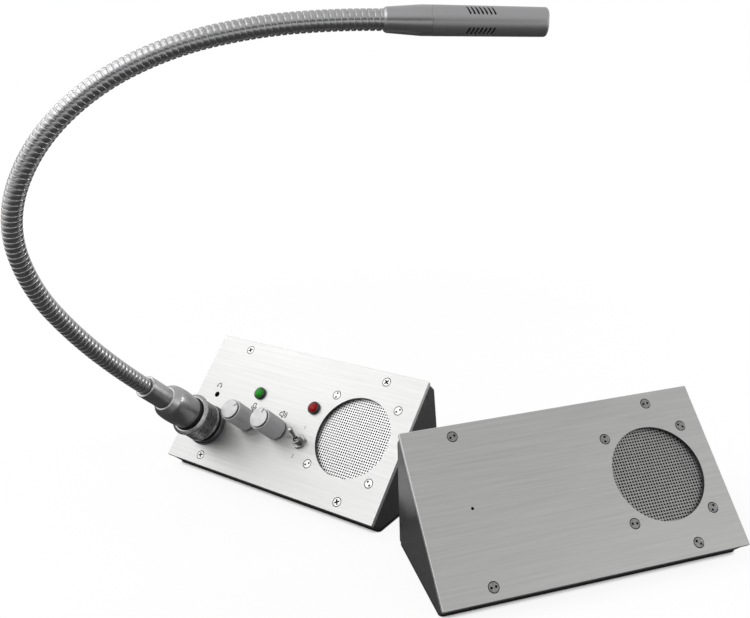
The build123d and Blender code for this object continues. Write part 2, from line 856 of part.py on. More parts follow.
def neck_link(number):
    """One length of hose: a hollow arc with a cup at its start and a ball at its end."""
    first = number == 1
    last = number == len(NECK_TURNS)
    start = NECK_PLANES[number - 1]
    end = NECK_PLANES[number]
    turn = NECK_TURNS[number - 1]
    radius = NECK_LENGTH / len(NECK_TURNS) / radians(turn)
    centre = start.origin - start.y_dir * radius
    bend = Axis(centre, start.x_dir)
    with BuildPart() as link:
        with BuildSketch(start):
            Circle(NECK_R)
        revolve(axis=bend, revolution_arc=turn)
        if first:
            with BuildSketch(start):
                Circle(NECK_R)
            extrude(amount=-NECK_SEAT_START)
        else:
            with Locations(start.origin):
                Sphere(NECK_R + SOCKET_CLEARANCE, mode=Mode.SUBTRACT)
        if last:
            with BuildSketch(end):
                Circle(NECK_R)
            extrude(amount=NECK_SEAT_END)
        else:
            with Locations(end.origin):
                Sphere(NECK_R)
        with BuildSketch(start):
            Circle(NECK_BORE_R)
        revolve(axis=bend, revolution_arc=turn, mode=Mode.SUBTRACT)
        if first:
            with BuildSketch(start):
                Circle(NECK_BORE_R)
            extrude(amount=-NECK_SEAT_START, mode=Mode.SUBTRACT)
        with BuildSketch(end):
            Circle(NECK_BORE_R)
        extrude(amount=NECK_SEAT_END, mode=Mode.SUBTRACT)
    return link.part


# ---------------------------------------------------------------- microphone
def level_plane(plane):
    """The same plane turned about its normal until its x lies level."""
    level = Vector(plane.z_dir.Y, -plane.z_dir.X, 0).normalized()
    return Plane(origin=plane.origin, x_dir=level, z_dir=plane.z_dir)


MIC_AXIS = level_plane(NECK_PLANES[-1])


def mic_collar():
    """Cone from the hose up to the barrel, bored for the hose and stepped for the barrel."""
    spigot_r = MIC_TIP_R - MIC_WALL
    return turned(
        MIC_AXIS,
        [
            (NECK_R, 0),
            (COLLAR_R, 0),
            (MIC_R, COLLAR_TAPER_L),
            (MIC_R, COLLAR_L),
            (spigot_r, COLLAR_L),
            (spigot_r, COLLAR_L + 6),
            (NECK_BORE_R, COLLAR_L + 6),
            (NECK_BORE_R, NECK_SEAT_END),
            (NECK_R, NECK_SEAT_END),
        ],
    )


def mic_barrel():
    """Slotted barrel: four rows of slanted slots round a thin tube."""
    inner_r = MIC_TIP_R - MIC_WALL
    with BuildPart() as barrel:
        add(
            turned(
                MIC_AXIS,
                [
                    (inner_r, COLLAR_L),
                    (MIC_R, COLLAR_L),
                    (MIC_TIP_R, BARREL_END),
                    (inner_r, BARREL_END),
                ],
            )
        )
        for row in range(SLOT_ROWS):
            around = 360 / SLOT_ROWS * (row + 0.5)
            spoke = MIC_AXIS.x_dir.rotate(Axis((0, 0, 0), MIC_AXIS.z_dir), around)
            for slot in range(SLOT_COUNT):
                height = SLOT_CENTRE + (slot - (SLOT_COUNT - 1) / 2) * SLOT_PITCH
                seat = Plane(
                    origin=MIC_AXIS.origin + MIC_AXIS.z_dir * height + spoke * (MIC_R + 1),
                    x_dir=MIC_AXIS.z_dir,
                    z_dir=spoke,
                )
                with BuildSketch(seat):
                    SlotOverall(SLOT_L, SLOT_W, rotation=90 + SLOT_SLANT)
                extrude(amount=-4, mode=Mode.SUBTRACT)
    return barrel.part


def mic_end_cap():
    """Rounded nose with seven sound holes."""
    seat = MIC_AXIS
    section = Plane(origin=seat.origin, x_dir=seat.x_dir, z_dir=-seat.y_dir)
    spigot_r = MIC_TIP_R - MIC_WALL
    flat_r = MIC_TIP_R - MIC_NOSE_R
    with BuildPart() as cap:
        with BuildSketch(section):
            with BuildLine():
                Polyline(
                    (flat_r, MIC_LENGTH),
                    (0, MIC_LENGTH),
                    (0, MIC_LENGTH - 1.5),
                    (spigot_r - 1.2, MIC_LENGTH - 1.5),
                    (spigot_r - 1.2, BARREL_END - 4),
                    (spigot_r, BARREL_END - 4),
                    (spigot_r, BARREL_END),
                    (MIC_TIP_R, BARREL_END),
                    (MIC_TIP_R, MIC_LENGTH - MIC_NOSE_R),
                )
                RadiusArc((MIC_TIP_R, MIC_LENGTH - MIC_NOSE_R), (flat_r, MIC_LENGTH), -MIC_NOSE_R)
            make_face()
        revolve(axis=Axis(seat.origin, seat.z_dir))
        with BuildSketch(seat.offset(MIC_LENGTH)):
            Circle(0.8)
            with PolarLocations(3.2, 6):
                Circle(0.8)
        extrude(amount=-2, mode=Mode.SUBTRACT)
    return cap.part


def mic_capsule():
    top = BARREL_END - 4
    return turned(
        MIC_AXIS,
        [(0, top - CAPSULE_L), (CAPSULE_R, top - CAPSULE_L), (CAPSULE_R, top), (0, top)],
    )


# ---------------------------------------------------------------- rear sockets, board
def power_inlet():
    """Barrel inlet with its centre pin, held in the rear wall."""
    return turned(
        seat_at(REAR, INLET_X, 0),
        [
            (0, -2.0),
            (INLET_PIN_R, -2.0),
            (INLET_PIN_R, -9.5),
            (INLET_BORE_R, -9.5),
            (INLET_BORE_R, 1.2),
            (INLET_FLANGE_R, 1.2),
            (INLET_FLANGE_R, 0),
            (INLET_R, 0),
            (INLET_R, -12),
            (0, -12),
        ],
    )


def link_socket():
    """Modular socket: a block with a stepped cavity for the plug and its latch."""
    seat = seat_at(REAR, LINK_X, 0)
    with BuildPart() as socket:
        with BuildSketch(seat.offset(0.6)):
            Rectangle(LINK_W, LINK_H)
        extrude(amount=-LINK_L)
        with BuildSketch(seat.offset(0.6)):
            with Locations((0, 0.8)):
                Rectangle(LINK_CAVITY_W, LINK_CAVITY_H)
            with Locations((0, -4.0)):
                Rectangle(LINK_CAVITY_W / 2, 2.6)
        extrude(amount=-LINK_CAVITY_L, mode=Mode.SUBTRACT)
    return socket.part


def amplifier_board():
    with BuildPart() as board:
        with BuildSketch(FACE.offset(-BOARD_DEPTH)):
            with Locations((BOARD_X, 0)):
                RectangleRounded(BOARD_W, BOARD_H, 2)
                with GridLocations(BOARD_W - 2 * STANDOFF_INSET, BOARD_H - 2 * STANDOFF_INSET, 2, 2):
                    Circle(1.6, mode=Mode.SUBTRACT)
        extrude(amount=-BOARD_T)
    return board.part


def board_standoffs():
    with BuildPart() as posts:
        with BuildSketch(BACK):
            with Locations((BOARD_X, 0)):
                with GridLocations(BOARD_W - 2 * STANDOFF_INSET, BOARD_H - 2 * STANDOFF_INSET, 2, 2):
                    RegularPolygon(STANDOFF_R, 6)
        extrude(amount=-(BOARD_DEPTH - PLATE_T))
    return posts.part


def amplifier_heat_sink():
    """Finned sink for the amplifier chip, on the back of the board."""
    plane = FACE.offset(-BOARD_DEPTH - BOARD_T)
    with BuildPart() as sink:
        with BuildSketch(plane):
            with Locations((BOARD_X - 14, 18)):
                Rectangle(34, 18)
        extrude(amount=-3)
        with BuildSketch(plane.offset(-3)):
            with Locations((BOARD_X - 14, 18)):
                with GridLocations(6.5, 18, 6, 1):
                    Rectangle(1.5, 18)
        extrude(amount=-9)
    return sink.part


def board_capacitors():
    with BuildPart() as cans:
        with BuildSketch(FACE.offset(-BOARD_DEPTH - BOARD_T)):
            with Locations((BOARD_X + 18, 20), (BOARD_X + 18, 6), (BOARD_X + 30, 13)):
                Circle(5)
        extrude(amount=-12)
        chamfer(cans.edges().group_by(Axis(FACE.origin, FACE.z_dir))[0], 0.6)
    return cans.part


def customer_mic():
    """Pinhole microphone capsule against the back of the customer's plate."""
    return turned(
        seat_at(BACK, PINHOLE_X, PINHOLE_Y),
        [(0, 0), (4.9, 0), (4.9, -5.8), (3.6, -6.6), (0, -6.6)],
    )


# ---------------------------------------------------------------- teller station
TELLER_HOLES = [
    (TALK_X, KNOB_Y, BUSHING_R + FIT_GAP),
    (LISTEN_X, KNOB_Y, BUSHING_R + FIT_GAP),
    (GREEN_X, LAMP_Y, BEZEL_BODY_R + FIT_GAP),
    (RED_X, LAMP_Y, BEZEL_BODY_R + FIT_GAP),
    (MUTE_X, MUTE_Y, SWITCH_BUSH_R + FIT_GAP),
    (JACK_X, JACK_Y, JACK_HOLE_R),
    (MIC_X, MIC_Y, SOCKET_BODY_R + FIT_GAP),
]
write("teller_front_plate", front_plate(TELLER_HOLES))
write("teller_housing", housing([("round", INLET_X), ("square", LINK_X)]))
write(
    "teller_corner_screws",
    group([cross_screw(x, y, CORNER_SCREW_L, t) for (x, y), t in zip(CORNERS, TELLER_CORNER_TURNS)]),
)
write("talk_pot", potentiometer(TALK_X))
write("talk_shaft", pot_shaft(TALK_X))
write("talk_knob", knob(TALK_X, TALK_INDEX))
write("listen_pot", potentiometer(LISTEN_X))
write("listen_shaft", pot_shaft(LISTEN_X))
write("listen_knob", knob(LISTEN_X, LISTEN_INDEX))
write("pot_nuts", group([pot_nut(TALK_X), pot_nut(LISTEN_X)]))
write("lamp_bezels", group([lamp_bezel(GREEN_X), lamp_bezel(RED_X)]))
write("green_lamp_lens", lamp_lens(GREEN_X))
write("red_lamp_lens", lamp_lens(RED_X))
write("mute_switch_body", mute_switch_body())
write(
    "mute_switch_nut",
    hex_ring(seat_at(FACE, MUTE_X, MUTE_Y), SWITCH_NUT_AF, SWITCH_BUSH_R, SWITCH_NUT_T),
)
write("mute_switch_lever", mute_switch_lever())
write("headset_jack", headset_jack())
write("mic_receptacle", mic_receptacle())
write("receptacle_nut", receptacle_nut())
write("coupling_ring", coupling_ring())
write("plug_gasket", plug_gasket())
write("mic_plug_shell", mic_plug_shell())
write("neck_sleeve", neck_sleeve())
for number in range(1, len(NECK_TURNS) + 1):
    write(f"neck_link_{number}", neck_link(number))
write("mic_collar", mic_collar())
write("mic_barrel", mic_barrel())
write("mic_end_cap", mic_end_cap())
write("mic_capsule", mic_capsule())
write("power_inlet", power_inlet())
write("amplifier_board", amplifier_board())
write("board_standoffs", board_standoffs())
write("amplifier_heat_sink", amplifier_heat_sink())
write("board_capacitors", board_capacitors())

# ---------------------------------------------------------------- customer station
write(
    "customer_front_plate",
    front_plate([(PINHOLE_X, PINHOLE_Y, PINHOLE_R)]).moved(CUSTOMER_PLACE),
)
write("customer_housing", housing([("square", LINK_X)]).moved(CUSTOMER_PLACE))
write("customer_mic_capsule", customer_mic().moved(CUSTOMER_PLACE))

# ---------------------------------------------------------------- pieces on both stations
PLACES = {"teller": TELLER_PLACE, "customer": CUSTOMER_PLACE}
for station, place in PLACES.items():
    write(f"{station}_grille", speaker_sheet(BACK, GRILLE_T, 0).moved(place))
    write(
        f"{station}_speaker_gasket",
        speaker_sheet(BEHIND_GRILLE, GASKET_T, GASKET_BORE_R).moved(place),
    )
    write(f"{station}_speaker_frame", speaker_frame().moved(place))
    write(f"{station}_speaker_cone", speaker_cone().moved(place))
    write(f"{station}_speaker_magnet", speaker_magnet().moved(place))
    write(f"{station}_link_socket", link_socket().moved(place))

write("corner_nuts", group([corner_nuts().moved(place) for place in PLACES.values()]))
write("speaker_nuts", group([speaker_nuts().moved(place) for place in PLACES.values()]))
write("base_pads", group([base_pad().moved(place) for place in PLACES.values()]))
teller_spanners = [
    spanner_screw(x, y, SPEAKER_SCREW_L, t)
    for (x, y), t in zip(SPEAKER_CORNERS, TELLER_SPEAKER_TURNS)
]
customer_spanners = [
    spanner_screw(x, y, SPEAKER_SCREW_L, t).moved(CUSTOMER_PLACE)
    for (x, y), t in zip(SPEAKER_CORNERS, CUSTOMER_SPEAKER_TURNS)
]
customer_corners = [
    spanner_screw(x, y, CORNER_SCREW_L, t).moved(CUSTOMER_PLACE)
    for (x, y), t in zip(CORNERS, CUSTOMER_CORNER_TURNS)
]
write("spanner_screws", group(teller_spanners + customer_spanners + customer_corners))

for number, plane in enumerate(NECK_PLANES):
    print("neck plane", number, plane.origin, "along", plane.z_dir, "bends about", plane.x_dir)
print("microphone runs along", MIC_AXIS.z_dir)
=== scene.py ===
# %% [markdown]
# # Teller window intercom
#
# Two wedge-shaped steel stations with brushed front plates. The teller's carries a wound-steel
# gooseneck microphone, two turned knobs, two lamps and a toggle; the customer's has only a speaker
# and a pinhole. The solid model gives every place and size, and this file gives the surfaces: the
# hose's winding, the knurls, the perforated sheet and the metals themselves.

# %% Load the solid model
import math

import bmesh
import bpy
import numpy as np
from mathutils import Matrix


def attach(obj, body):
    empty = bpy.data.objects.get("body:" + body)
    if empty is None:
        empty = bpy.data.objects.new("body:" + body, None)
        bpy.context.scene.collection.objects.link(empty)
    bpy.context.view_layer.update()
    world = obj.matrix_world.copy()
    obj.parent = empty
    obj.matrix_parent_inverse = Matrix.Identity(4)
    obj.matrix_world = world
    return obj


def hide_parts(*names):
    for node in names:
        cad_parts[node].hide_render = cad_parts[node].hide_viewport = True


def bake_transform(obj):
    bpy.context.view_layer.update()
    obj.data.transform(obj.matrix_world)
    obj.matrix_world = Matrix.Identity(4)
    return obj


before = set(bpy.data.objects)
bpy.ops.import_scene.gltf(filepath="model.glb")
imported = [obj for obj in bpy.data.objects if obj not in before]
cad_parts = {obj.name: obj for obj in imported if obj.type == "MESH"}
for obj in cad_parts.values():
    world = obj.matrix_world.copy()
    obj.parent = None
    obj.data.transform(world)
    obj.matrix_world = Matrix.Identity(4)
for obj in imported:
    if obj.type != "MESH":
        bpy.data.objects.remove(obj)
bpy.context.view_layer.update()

# %% [markdown]
# The camera stands in front of the stations and to their right, at about the microphone's height. It
# looks down by 18 degrees and leans by three. A constraint could aim it, but not lean it, so its
# placing matrix is worked out from three angles. The matrix has three columns for this: what points
# right in the picture, what points up, and what points back at the viewer.

# %% Camera
CAMERA_AT = (0.4184, -0.4579, 0.3386)
HEADING, PITCH, ROLL = math.radians(36.58), math.radians(18.21), math.radians(-2.93)


def camera_axes(heading, pitch, roll):
    """Level right and up are worked out from the heading and pitch, then turned by the roll."""
    level_right = np.array([math.cos(heading), math.sin(heading), 0])
    ahead = np.array([
        -math.sin(heading) * math.cos(pitch), math.cos(heading) * math.cos(pitch), -math.sin(pitch)])
    level_up = np.cross(level_right, ahead)
    right = math.cos(roll) * level_right + math.sin(roll) * level_up
    up = math.cos(roll) * level_up - math.sin(roll) * level_right
    return np.column_stack([right, up, -ahead])


def put(name, data):
    """An object that shows the data, linked into the scene."""
    thing = bpy.data.objects.new(name, data)
    bpy.context.scene.collection.objects.link(thing)
    return thing


camera_data = bpy.data.cameras.new("camera")
camera_data.sensor_fit = "HORIZONTAL"
camera_data.sensor_width = 36.0
camera_data.lens = 40.85
camera = put("camera", camera_data)


def stand(thing, axes, at):
    """Blender takes a matrix column by column: right, up, back and place, each with a fourth number."""
    columns = np.eye(4)
    columns[:3, :3] = axes.T
    columns[3, :3] = at
    thing.matrix_world = columns.tolist()


stand(camera, camera_axes(HEADING, PITCH, ROLL), CAMERA_AT)
bpy.context.scene.camera = camera
bpy.context.scene.view_settings.view_transform = "Standard"
print("camera looks along", np.round(-camera_axes(HEADING, PITCH, ROLL)[:, 2], 3))

# %% [markdown]
# Two helpers serve every material. Colours are written as the sRGB codes that a paint chart gives,
# and Blender mixes light in linear numbers, so one function turns the first into the second. The
# other adds a node with its settings and links in one call, which keeps each recipe readable.

# %% Helpers for materials


def linear(code):
    """sRGB to linear: v / 12.92 in the darkest part, ((v + 0.055) / 1.055) ** 2.4 above it."""
    parts = [int(code[i:i + 2], 16) / 255 for i in (1, 3, 5)]
    return [v / 12.92 if v <= 0.04045 else ((v + 0.055) / 1.055) ** 2.4 for v in parts] + [1.0]


def add(tree, kind, inputs=None, **settings):
    """Adds a node of that kind. Inputs are values or sockets of other nodes, by name or number."""
    node = tree.nodes.new(kind)
    for key, value in settings.items():
        setattr(node, key, value)
    for key, value in (inputs or {}).items():
        if isinstance(value, bpy.types.NodeSocket):
            tree.links.new(value, node.inputs[key])
        else:
            node.inputs[key].default_value = value
    return node


def new_material(name, **sockets):
    """A material with one principled shader, its constants set on the shader's own sockets."""
    material = bpy.data.materials.new(name)
    material.use_nodes = True
    tree = material.node_tree
    tree.nodes.clear()
    shader = add(tree, "ShaderNodeBsdfPrincipled", {k.replace("_", " "): v for k, v in sockets.items()})
    add(tree, "ShaderNodeOutputMaterial", {"Surface": shader.outputs["BSDF"]})
    return material, tree, shader


def dress(material, *names):
    """Gives CAD nodes a finished material in place of the plain one."""
    for name in names:
        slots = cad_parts[name].data.materials
        slots.clear()
        slots.append(material)


# %% [markdown]
# The front plates are stainless sheet, brushed along their width. Brushing leaves scratches a few
# hundredths of a millimetre wide and some centimetres long, too fine to show, so they are drawn a
# little under a millimetre apart. The eye sees them as streaks: the colour and the gloss change fast
# up the slope and hardly at all along the width. An anisotropic shader alone would stretch the
# highlights and show no streaks, so stretched noise draws them. A Mapping node turns each plate's own
# slope and direction back to flat before the noise is stretched.
#
# The sheet's outer edges get a painted highlight: a pale colour of their own for the bright line they
# catch. Little light gets to the walls of its holes, so they get painted shade, a dark grey. Both
# differ from the face in where they point, and from each other in how far they lie from the plate's
# middle, so two tests find them.

# %% Stations' places
MM = 0.001
SLOPE = math.radians(45)
FACE_CENTRE = np.array([0.0, -12.750, 51.422])  # middle of the teller plate's face, mm
CUSTOMER_AT = np.array([219.7, 9.8, 0.0])  # the customer station's place, mm
CUSTOMER_TURN = math.radians(50.9)


def turn_about_z(points, angle):
    """Each point's x and y are turned by the angle; z stays."""
    c, s = math.cos(angle), math.sin(angle)
    return points @ np.array([[c, s, 0], [-s, c, 0], [0, 0, 1]])


class Station:
    """A front plate's own directions: across, up the slope and out of the plate."""

    def __init__(self, body, at, turn):
        """The directions are tilted by the slope and turned about z; the centre turns and moves."""
        self.body = body
        self.turn = turn
        self.at = np.asarray(at, float)
        axes = np.array([
            [1, 0, 0],
            [0, math.cos(SLOPE), math.sin(SLOPE)],
            [0, -math.sin(SLOPE), math.cos(SLOPE)]])
        self.across, self.up, self.out = turn_about_z(axes, turn)
        self.centre = turn_about_z(FACE_CENTRE[None], turn)[0] + self.at

    def place(self, points, x=0.0, y=0.0):
        """Plate points in mm (across, up, out), shifted by x and y, to the row frame in metres."""
        p = np.asarray(points, float)
        rows = (p[:, :1] + x) * self.across + (p[:, 1:2] + y) * self.up + p[:, 2:3] * self.out
        return (rows + self.centre) * MM


teller = Station("stations", (0, 0, 0), 0.0)
customer = Station("stations", CUSTOMER_AT, CUSTOMER_TURN)
print("plate centres, mm", np.round(teller.centre, 1), np.round(customer.centre, 1))

# %% Brushed stainless steel
STREAKS_PER_M = (22, 1150, 60)
BANDS_PER_M = (14, 600, 10)
OUTLINE_FROM = {"X": 0.1042, "Y": 0.0555}  # metres from the middle, just inside the plate's outline


def brushed_stainless(name, station, code, roughness):
    """The face's colour is multiplied by streaks plus bands. Where a surface turns away from the
    plate's own direction, it is an edge if it lies past the outline's numbers, else a hole's wall.
    Edges get a pale painted highlight and hole walls a dark grey painted shade."""
    material, tree, shader = new_material(name, Metallic=1.0)
    spot = add(tree, "ShaderNodeTexCoord")
    flat = add(tree, "ShaderNodeMapping", {
        "Vector": spot.outputs["Object"],
        "Location": [v * MM for v in station.centre],
        "Rotation": (SLOPE, 0, station.turn)}, vector_type="TEXTURE")
    long = add(tree, "ShaderNodeMapping", {"Vector": flat.outputs[0], "Scale": STREAKS_PER_M})
    streaks = add(tree, "ShaderNodeTexNoise", {
        "Vector": long.outputs[0], "Scale": 1.0, "Detail": 3.0, "Roughness": 0.6})
    patch = add(tree, "ShaderNodeMapping", {"Vector": flat.outputs[0], "Scale": BANDS_PER_M})
    bands = add(tree, "ShaderNodeTexNoise", {
        "Vector": patch.outputs[0], "Scale": 1.0, "Detail": 2.0, "Roughness": 0.5})
    both = add(tree, "ShaderNodeMath", {0: streaks.outputs["Fac"], 1: bands.outputs["Fac"]})
    tint = add(tree, "ShaderNodeMapRange", {
        "Value": both.outputs[0], "From Min": 0.6, "From Max": 1.4, "To Min": 0.90, "To Max": 1.08})
    colour = add(tree, "ShaderNodeMix", {
        "Factor": 1.0, 6: linear(code), 7: tint.outputs[0]}, data_type="RGBA", blend_type="MULTIPLY")
    gloss = add(tree, "ShaderNodeMapRange", {
        "Value": streaks.outputs["Fac"], "From Min": 0.3, "From Max": 0.7,
        "To Min": roughness - 0.05, "To Max": roughness + 0.07})
    facing = add(tree, "ShaderNodeVectorMath", {
        0: spot.outputs["Normal"], 1: station.out.tolist()}, operation="DOT_PRODUCT")
    edge = add(tree, "ShaderNodeMath", {0: facing.outputs["Value"]}, operation="ABSOLUTE")
    highlight_and_shade_mask = add(tree, "ShaderNodeMapRange", {"Value": edge.outputs[0], "From Min": 0.9, "From Max": 0.6})
    flat_parts = add(tree, "ShaderNodeSeparateXYZ", {"Vector": flat.outputs[0]})
    past = []
    for axis, limit in OUTLINE_FROM.items():
        away = add(tree, "ShaderNodeMath", {0: flat_parts.outputs[axis]}, operation="ABSOLUTE")
        beyond = add(tree, "ShaderNodeMath", {0: away.outputs[0], 1: limit}, operation="GREATER_THAN")
        past.append(beyond.outputs[0])
    outline = add(tree, "ShaderNodeMath", {0: past[0], 1: past[1]}, operation="MAXIMUM")
    # Painted highlight and shade: pale on the plate's outer edges, dark grey on its holes' walls.
    painted_edge_highlight_or_shade = add(tree, "ShaderNodeMix", {
        "Factor": outline.outputs[0], 6: linear("#5c5c5c"), 7: linear("#e2e2e2")}, data_type="RGBA")
    colour = add(tree, "ShaderNodeMix", {
        "Factor": highlight_and_shade_mask.outputs[0], 6: colour.outputs[2], 7: painted_edge_highlight_or_shade.outputs[2]}, data_type="RGBA")
    gloss = add(tree, "ShaderNodeMix", {"Factor": highlight_and_shade_mask.outputs[0], 2: gloss.outputs[0], 3: 0.5})
    dents = add(tree, "ShaderNodeBump", {
        "Height": streaks.outputs["Fac"], "Strength": 0.10, "Distance": 0.0002})
    tree.links.new(colour.outputs[2], shader.inputs["Base Color"])
    tree.links.new(gloss.outputs[0], shader.inputs["Roughness"])
    tree.links.new(dents.outputs[0], shader.inputs["Normal"])
    return material


teller_steel = brushed_stainless("brushed_stainless_teller", teller, "#b6b6b5", 0.42)
# The customer's plate is a darker copy of the same stainless: painted shade, not another finish.
customer_steel_painted_shade = brushed_stainless("brushed_stainless_customer_painted_shade", customer, "#a3a3a2", 0.42)
dress(teller_steel, "teller_front_plate")
dress(customer_steel_painted_shade, "customer_front_plate")
print("plate finishes", teller_steel.name, customer_steel_painted_shade.name)

# %% [markdown]
# The other finishes follow one pattern: a base, a cloud of noise at the size of what the eye would
# see on the real surface, and a little of that cloud in the gloss. Real sizes: baked enamel has an
# orange peel with waves some 4 mm long, plated castings cloud over some 3 mm, and moulded rubber has
# a grit of about 0.3 mm. One recipe serves them all, because what tells these finishes apart at arm's
# length is colour, gloss and the size of the grain.

# %% One recipe for cloudy finishes


def clouded(name, dark, light, grain_mm, roughness, spread=0.06, bump=0.0, **sockets):
    """Noise of one grain size moves the colour between two codes and shifts the roughness."""
    material, tree, shader = new_material(name, **sockets)
    spot = add(tree, "ShaderNodeTexCoord")
    cloud = add(tree, "ShaderNodeTexNoise", {
        "Vector": spot.outputs["Object"], "Scale": 1000 / grain_mm, "Detail": 3.0})
    ramp = add(tree, "ShaderNodeMapRange", {
        "Value": cloud.outputs["Fac"], "From Min": 0.35, "From Max": 0.65})
    colour = add(tree, "ShaderNodeMix", {
        "Factor": ramp.outputs[0], 6: linear(dark), 7: linear(light)}, data_type="RGBA")
    gloss = add(tree, "ShaderNodeMapRange", {
        "Value": cloud.outputs["Fac"], "From Min": 0.3, "From Max": 0.7,
        "To Min": roughness - spread / 2, "To Max": roughness + spread / 2})
    tree.links.new(colour.outputs[2], shader.inputs["Base Color"])
    tree.links.new(gloss.outputs[0], shader.inputs["Roughness"])
    if bump:
        dents = add(tree, "ShaderNodeBump", {
            "Height": cloud.outputs["Fac"], "Strength": bump, "Distance": 0.0001})
        tree.links.new(dents.outputs[0], shader.inputs["Normal"])
    return material


# Enamel baked on steel: an even dark grey under a smooth skin with soft, broad highlights.
enamel = clouded("baked_enamel_grey", "#4d4d4e", "#535354", 4.0, 0.30, bump=0.05)
# Stainless steel, turned, rolled or punched: pale neutral mirrors with blurred reflections.
screw_bright = clouded("passivated_screw_heads", "#bebebd", "#cececd", 1.5, 0.38, Metallic=1.0)
# The customer's screw heads are a darker copy of the teller's: painted shade, not another finish.
screw_painted_shade = clouded("stainless_screw_heads_painted_shade", "#707070", "#868685", 1.0, 0.40, Metallic=1.0)
stainless_plain = clouded("plain_stainless", "#a0a0a0", "#b0b0af", 1.5, 0.36, Metallic=1.0)
perforated_bright = clouded("bright_perforated_steel", "#bebebd", "#cacaca", 2.0, 0.40, Metallic=1.0)
# The customer's sheet is a darker copy of the teller's: painted shade, not another finish.
perforated_painted_shade = clouded("perforated_steel_painted_shade", "#858584", "#929291", 2.0, 0.44, Metallic=1.0)
# Painted shade for holes and recesses, where hardly any light comes back: nearly black, no gloss.
punched = clouded("painted_shade_in_holes", "#080808", "#101010", 1.0, 0.70, Specular_IOR_Level=0.2)
# Turned aluminium under a clear anodic skin: pale, and more milky than mirror-like.
knob_aluminium = clouded("turned_aluminium", "#cfcfd0", "#dcdcdd", 1.0, 0.40, Metallic=0.4)
# Dark-plated zinc casting, and nickel from satin to bright: greys with ever narrower highlights.
zinc_dark = clouded("dark_zinc_casting", "#4d4d4e", "#5c5c5d", 3.0, 0.40, Metallic=1.0)
nickel_satin = clouded("satin_nickel_shell", "#9c9c9d", "#a8a8a9", 5.0, 0.34, Metallic=1.0)
nickel_bright = clouded("bright_nickel", "#8c8c8b", "#a4a4a3", 3.0, 0.26, Metallic=1.0)
nickel_knurl = clouded("knurled_nickel", "#8e8e8e", "#a4a4a3", 2.0, 0.28, Metallic=1.0)
# Spring steel strip, polished by the winding rolls: a tight highlight on every turn.
hose_steel = clouded("wound_steel_hose", "#9a9a9b", "#a6a6a7", 2.5, 0.25, Metallic=1.0)
# Moulded rubber is matt and gritty, a moulded bezel glossy, moulded plastic between the two.
rubber = clouded("black_rubber", "#0d0d0d", "#191919", 0.3, 0.62, bump=0.1)
bezel_black = clouded("black_moulded_bezel", "#101010", "#171717", 1.0, 0.25)
plastic_black = clouded("black_moulded_plastic", "#121212", "#1c1c1c", 0.8, 0.5, bump=0.05)
# Screened ink lies matt on the steel.
ink = clouded("screened_ink", "#232324", "#2f2f30", 0.4, 0.6, Specular_IOR_Level=0.2)
# Inside the housings: plated brass, epoxy board, anodised aluminium, pressed paper, fired ferrite.
brass_plated = clouded("plated_brass", "#a59c84", "#b9b098", 2.0, 0.35, Metallic=1.0)
board_green = clouded("glass_epoxy_board", "#0e3a1c", "#145026", 1.2, 0.45)
sink_black = clouded("black_anodised_sink", "#151516", "#222223", 1.0, 0.5, Metallic=0.6)
cone_paper = clouded("pressed_paper_cone", "#0c0c0c", "#161616", 0.5, 0.85, bump=0.3)
ferrite = clouded("ferrite_magnet", "#2a2a2c", "#38383a", 1.0, 0.6)
print("materials so far", len(bpy.data.materials))

# %% [markdown]
# The lamp lenses are coloured acrylic domes over small lamps. Unlit, they show as one deep colour
# with hardly any gloss, because what they mirror is faint beside the colour: so the recipe is a
# smooth plastic with little mirror strength. Real transmission would cost render time and look no
# different over a dark lamp. The pieces inside the housings take plain finishes.

# %% Lamp lenses and the plain parts


def acrylic(name, dark, light):
    """A cloudy finish with a low roughness and with its mirror strength turned down."""
    return clouded(name, dark, light, 2.0, 0.08, spread=0.04, Specular_IOR_Level=0.18)


green_lens = acrylic("green_acrylic_lens", "#12a01e", "#1fb42c")
red_lens = acrylic("red_acrylic_lens", "#a80000", "#c20404")

dress(enamel, "teller_housing", "customer_housing")
dress(stainless_plain, "corner_nuts", "speaker_nuts")
dress(stainless_plain, "receptacle_nut", "pot_nuts", "teller_speaker_frame", "customer_speaker_frame")
dress(rubber, "teller_speaker_gasket", "customer_speaker_gasket")
dress(cone_paper, "teller_speaker_cone", "customer_speaker_cone")
dress(ferrite, "teller_speaker_magnet", "customer_speaker_magnet")
dress(cone_paper, "customer_mic_capsule")
dress(plastic_black, "teller_link_socket", "customer_link_socket", "power_inlet", "headset_jack")
dress(brass_plated, "talk_pot", "listen_pot", "talk_shaft", "listen_shaft", "board_standoffs")
dress(board_green, "amplifier_board")
dress(sink_black, "amplifier_heat_sink", "board_capacitors")
dress(nickel_bright, "mute_switch_body")
print("materials with the lenses", len(bpy.data.materials))

# %% [markdown]
# Most of what stands on the plate was turned on a lathe, so most of it is one idea in code: an
# outline of radius against height, carried round an axis. The outline's corners are eased first,
# because a real edge always has a small round that catches the light. The Screw modifier could turn
# the outline too, but whole arrays leave every number in view, and a knurl or a thread is then one
# more term in the radius.

# %% Lathe


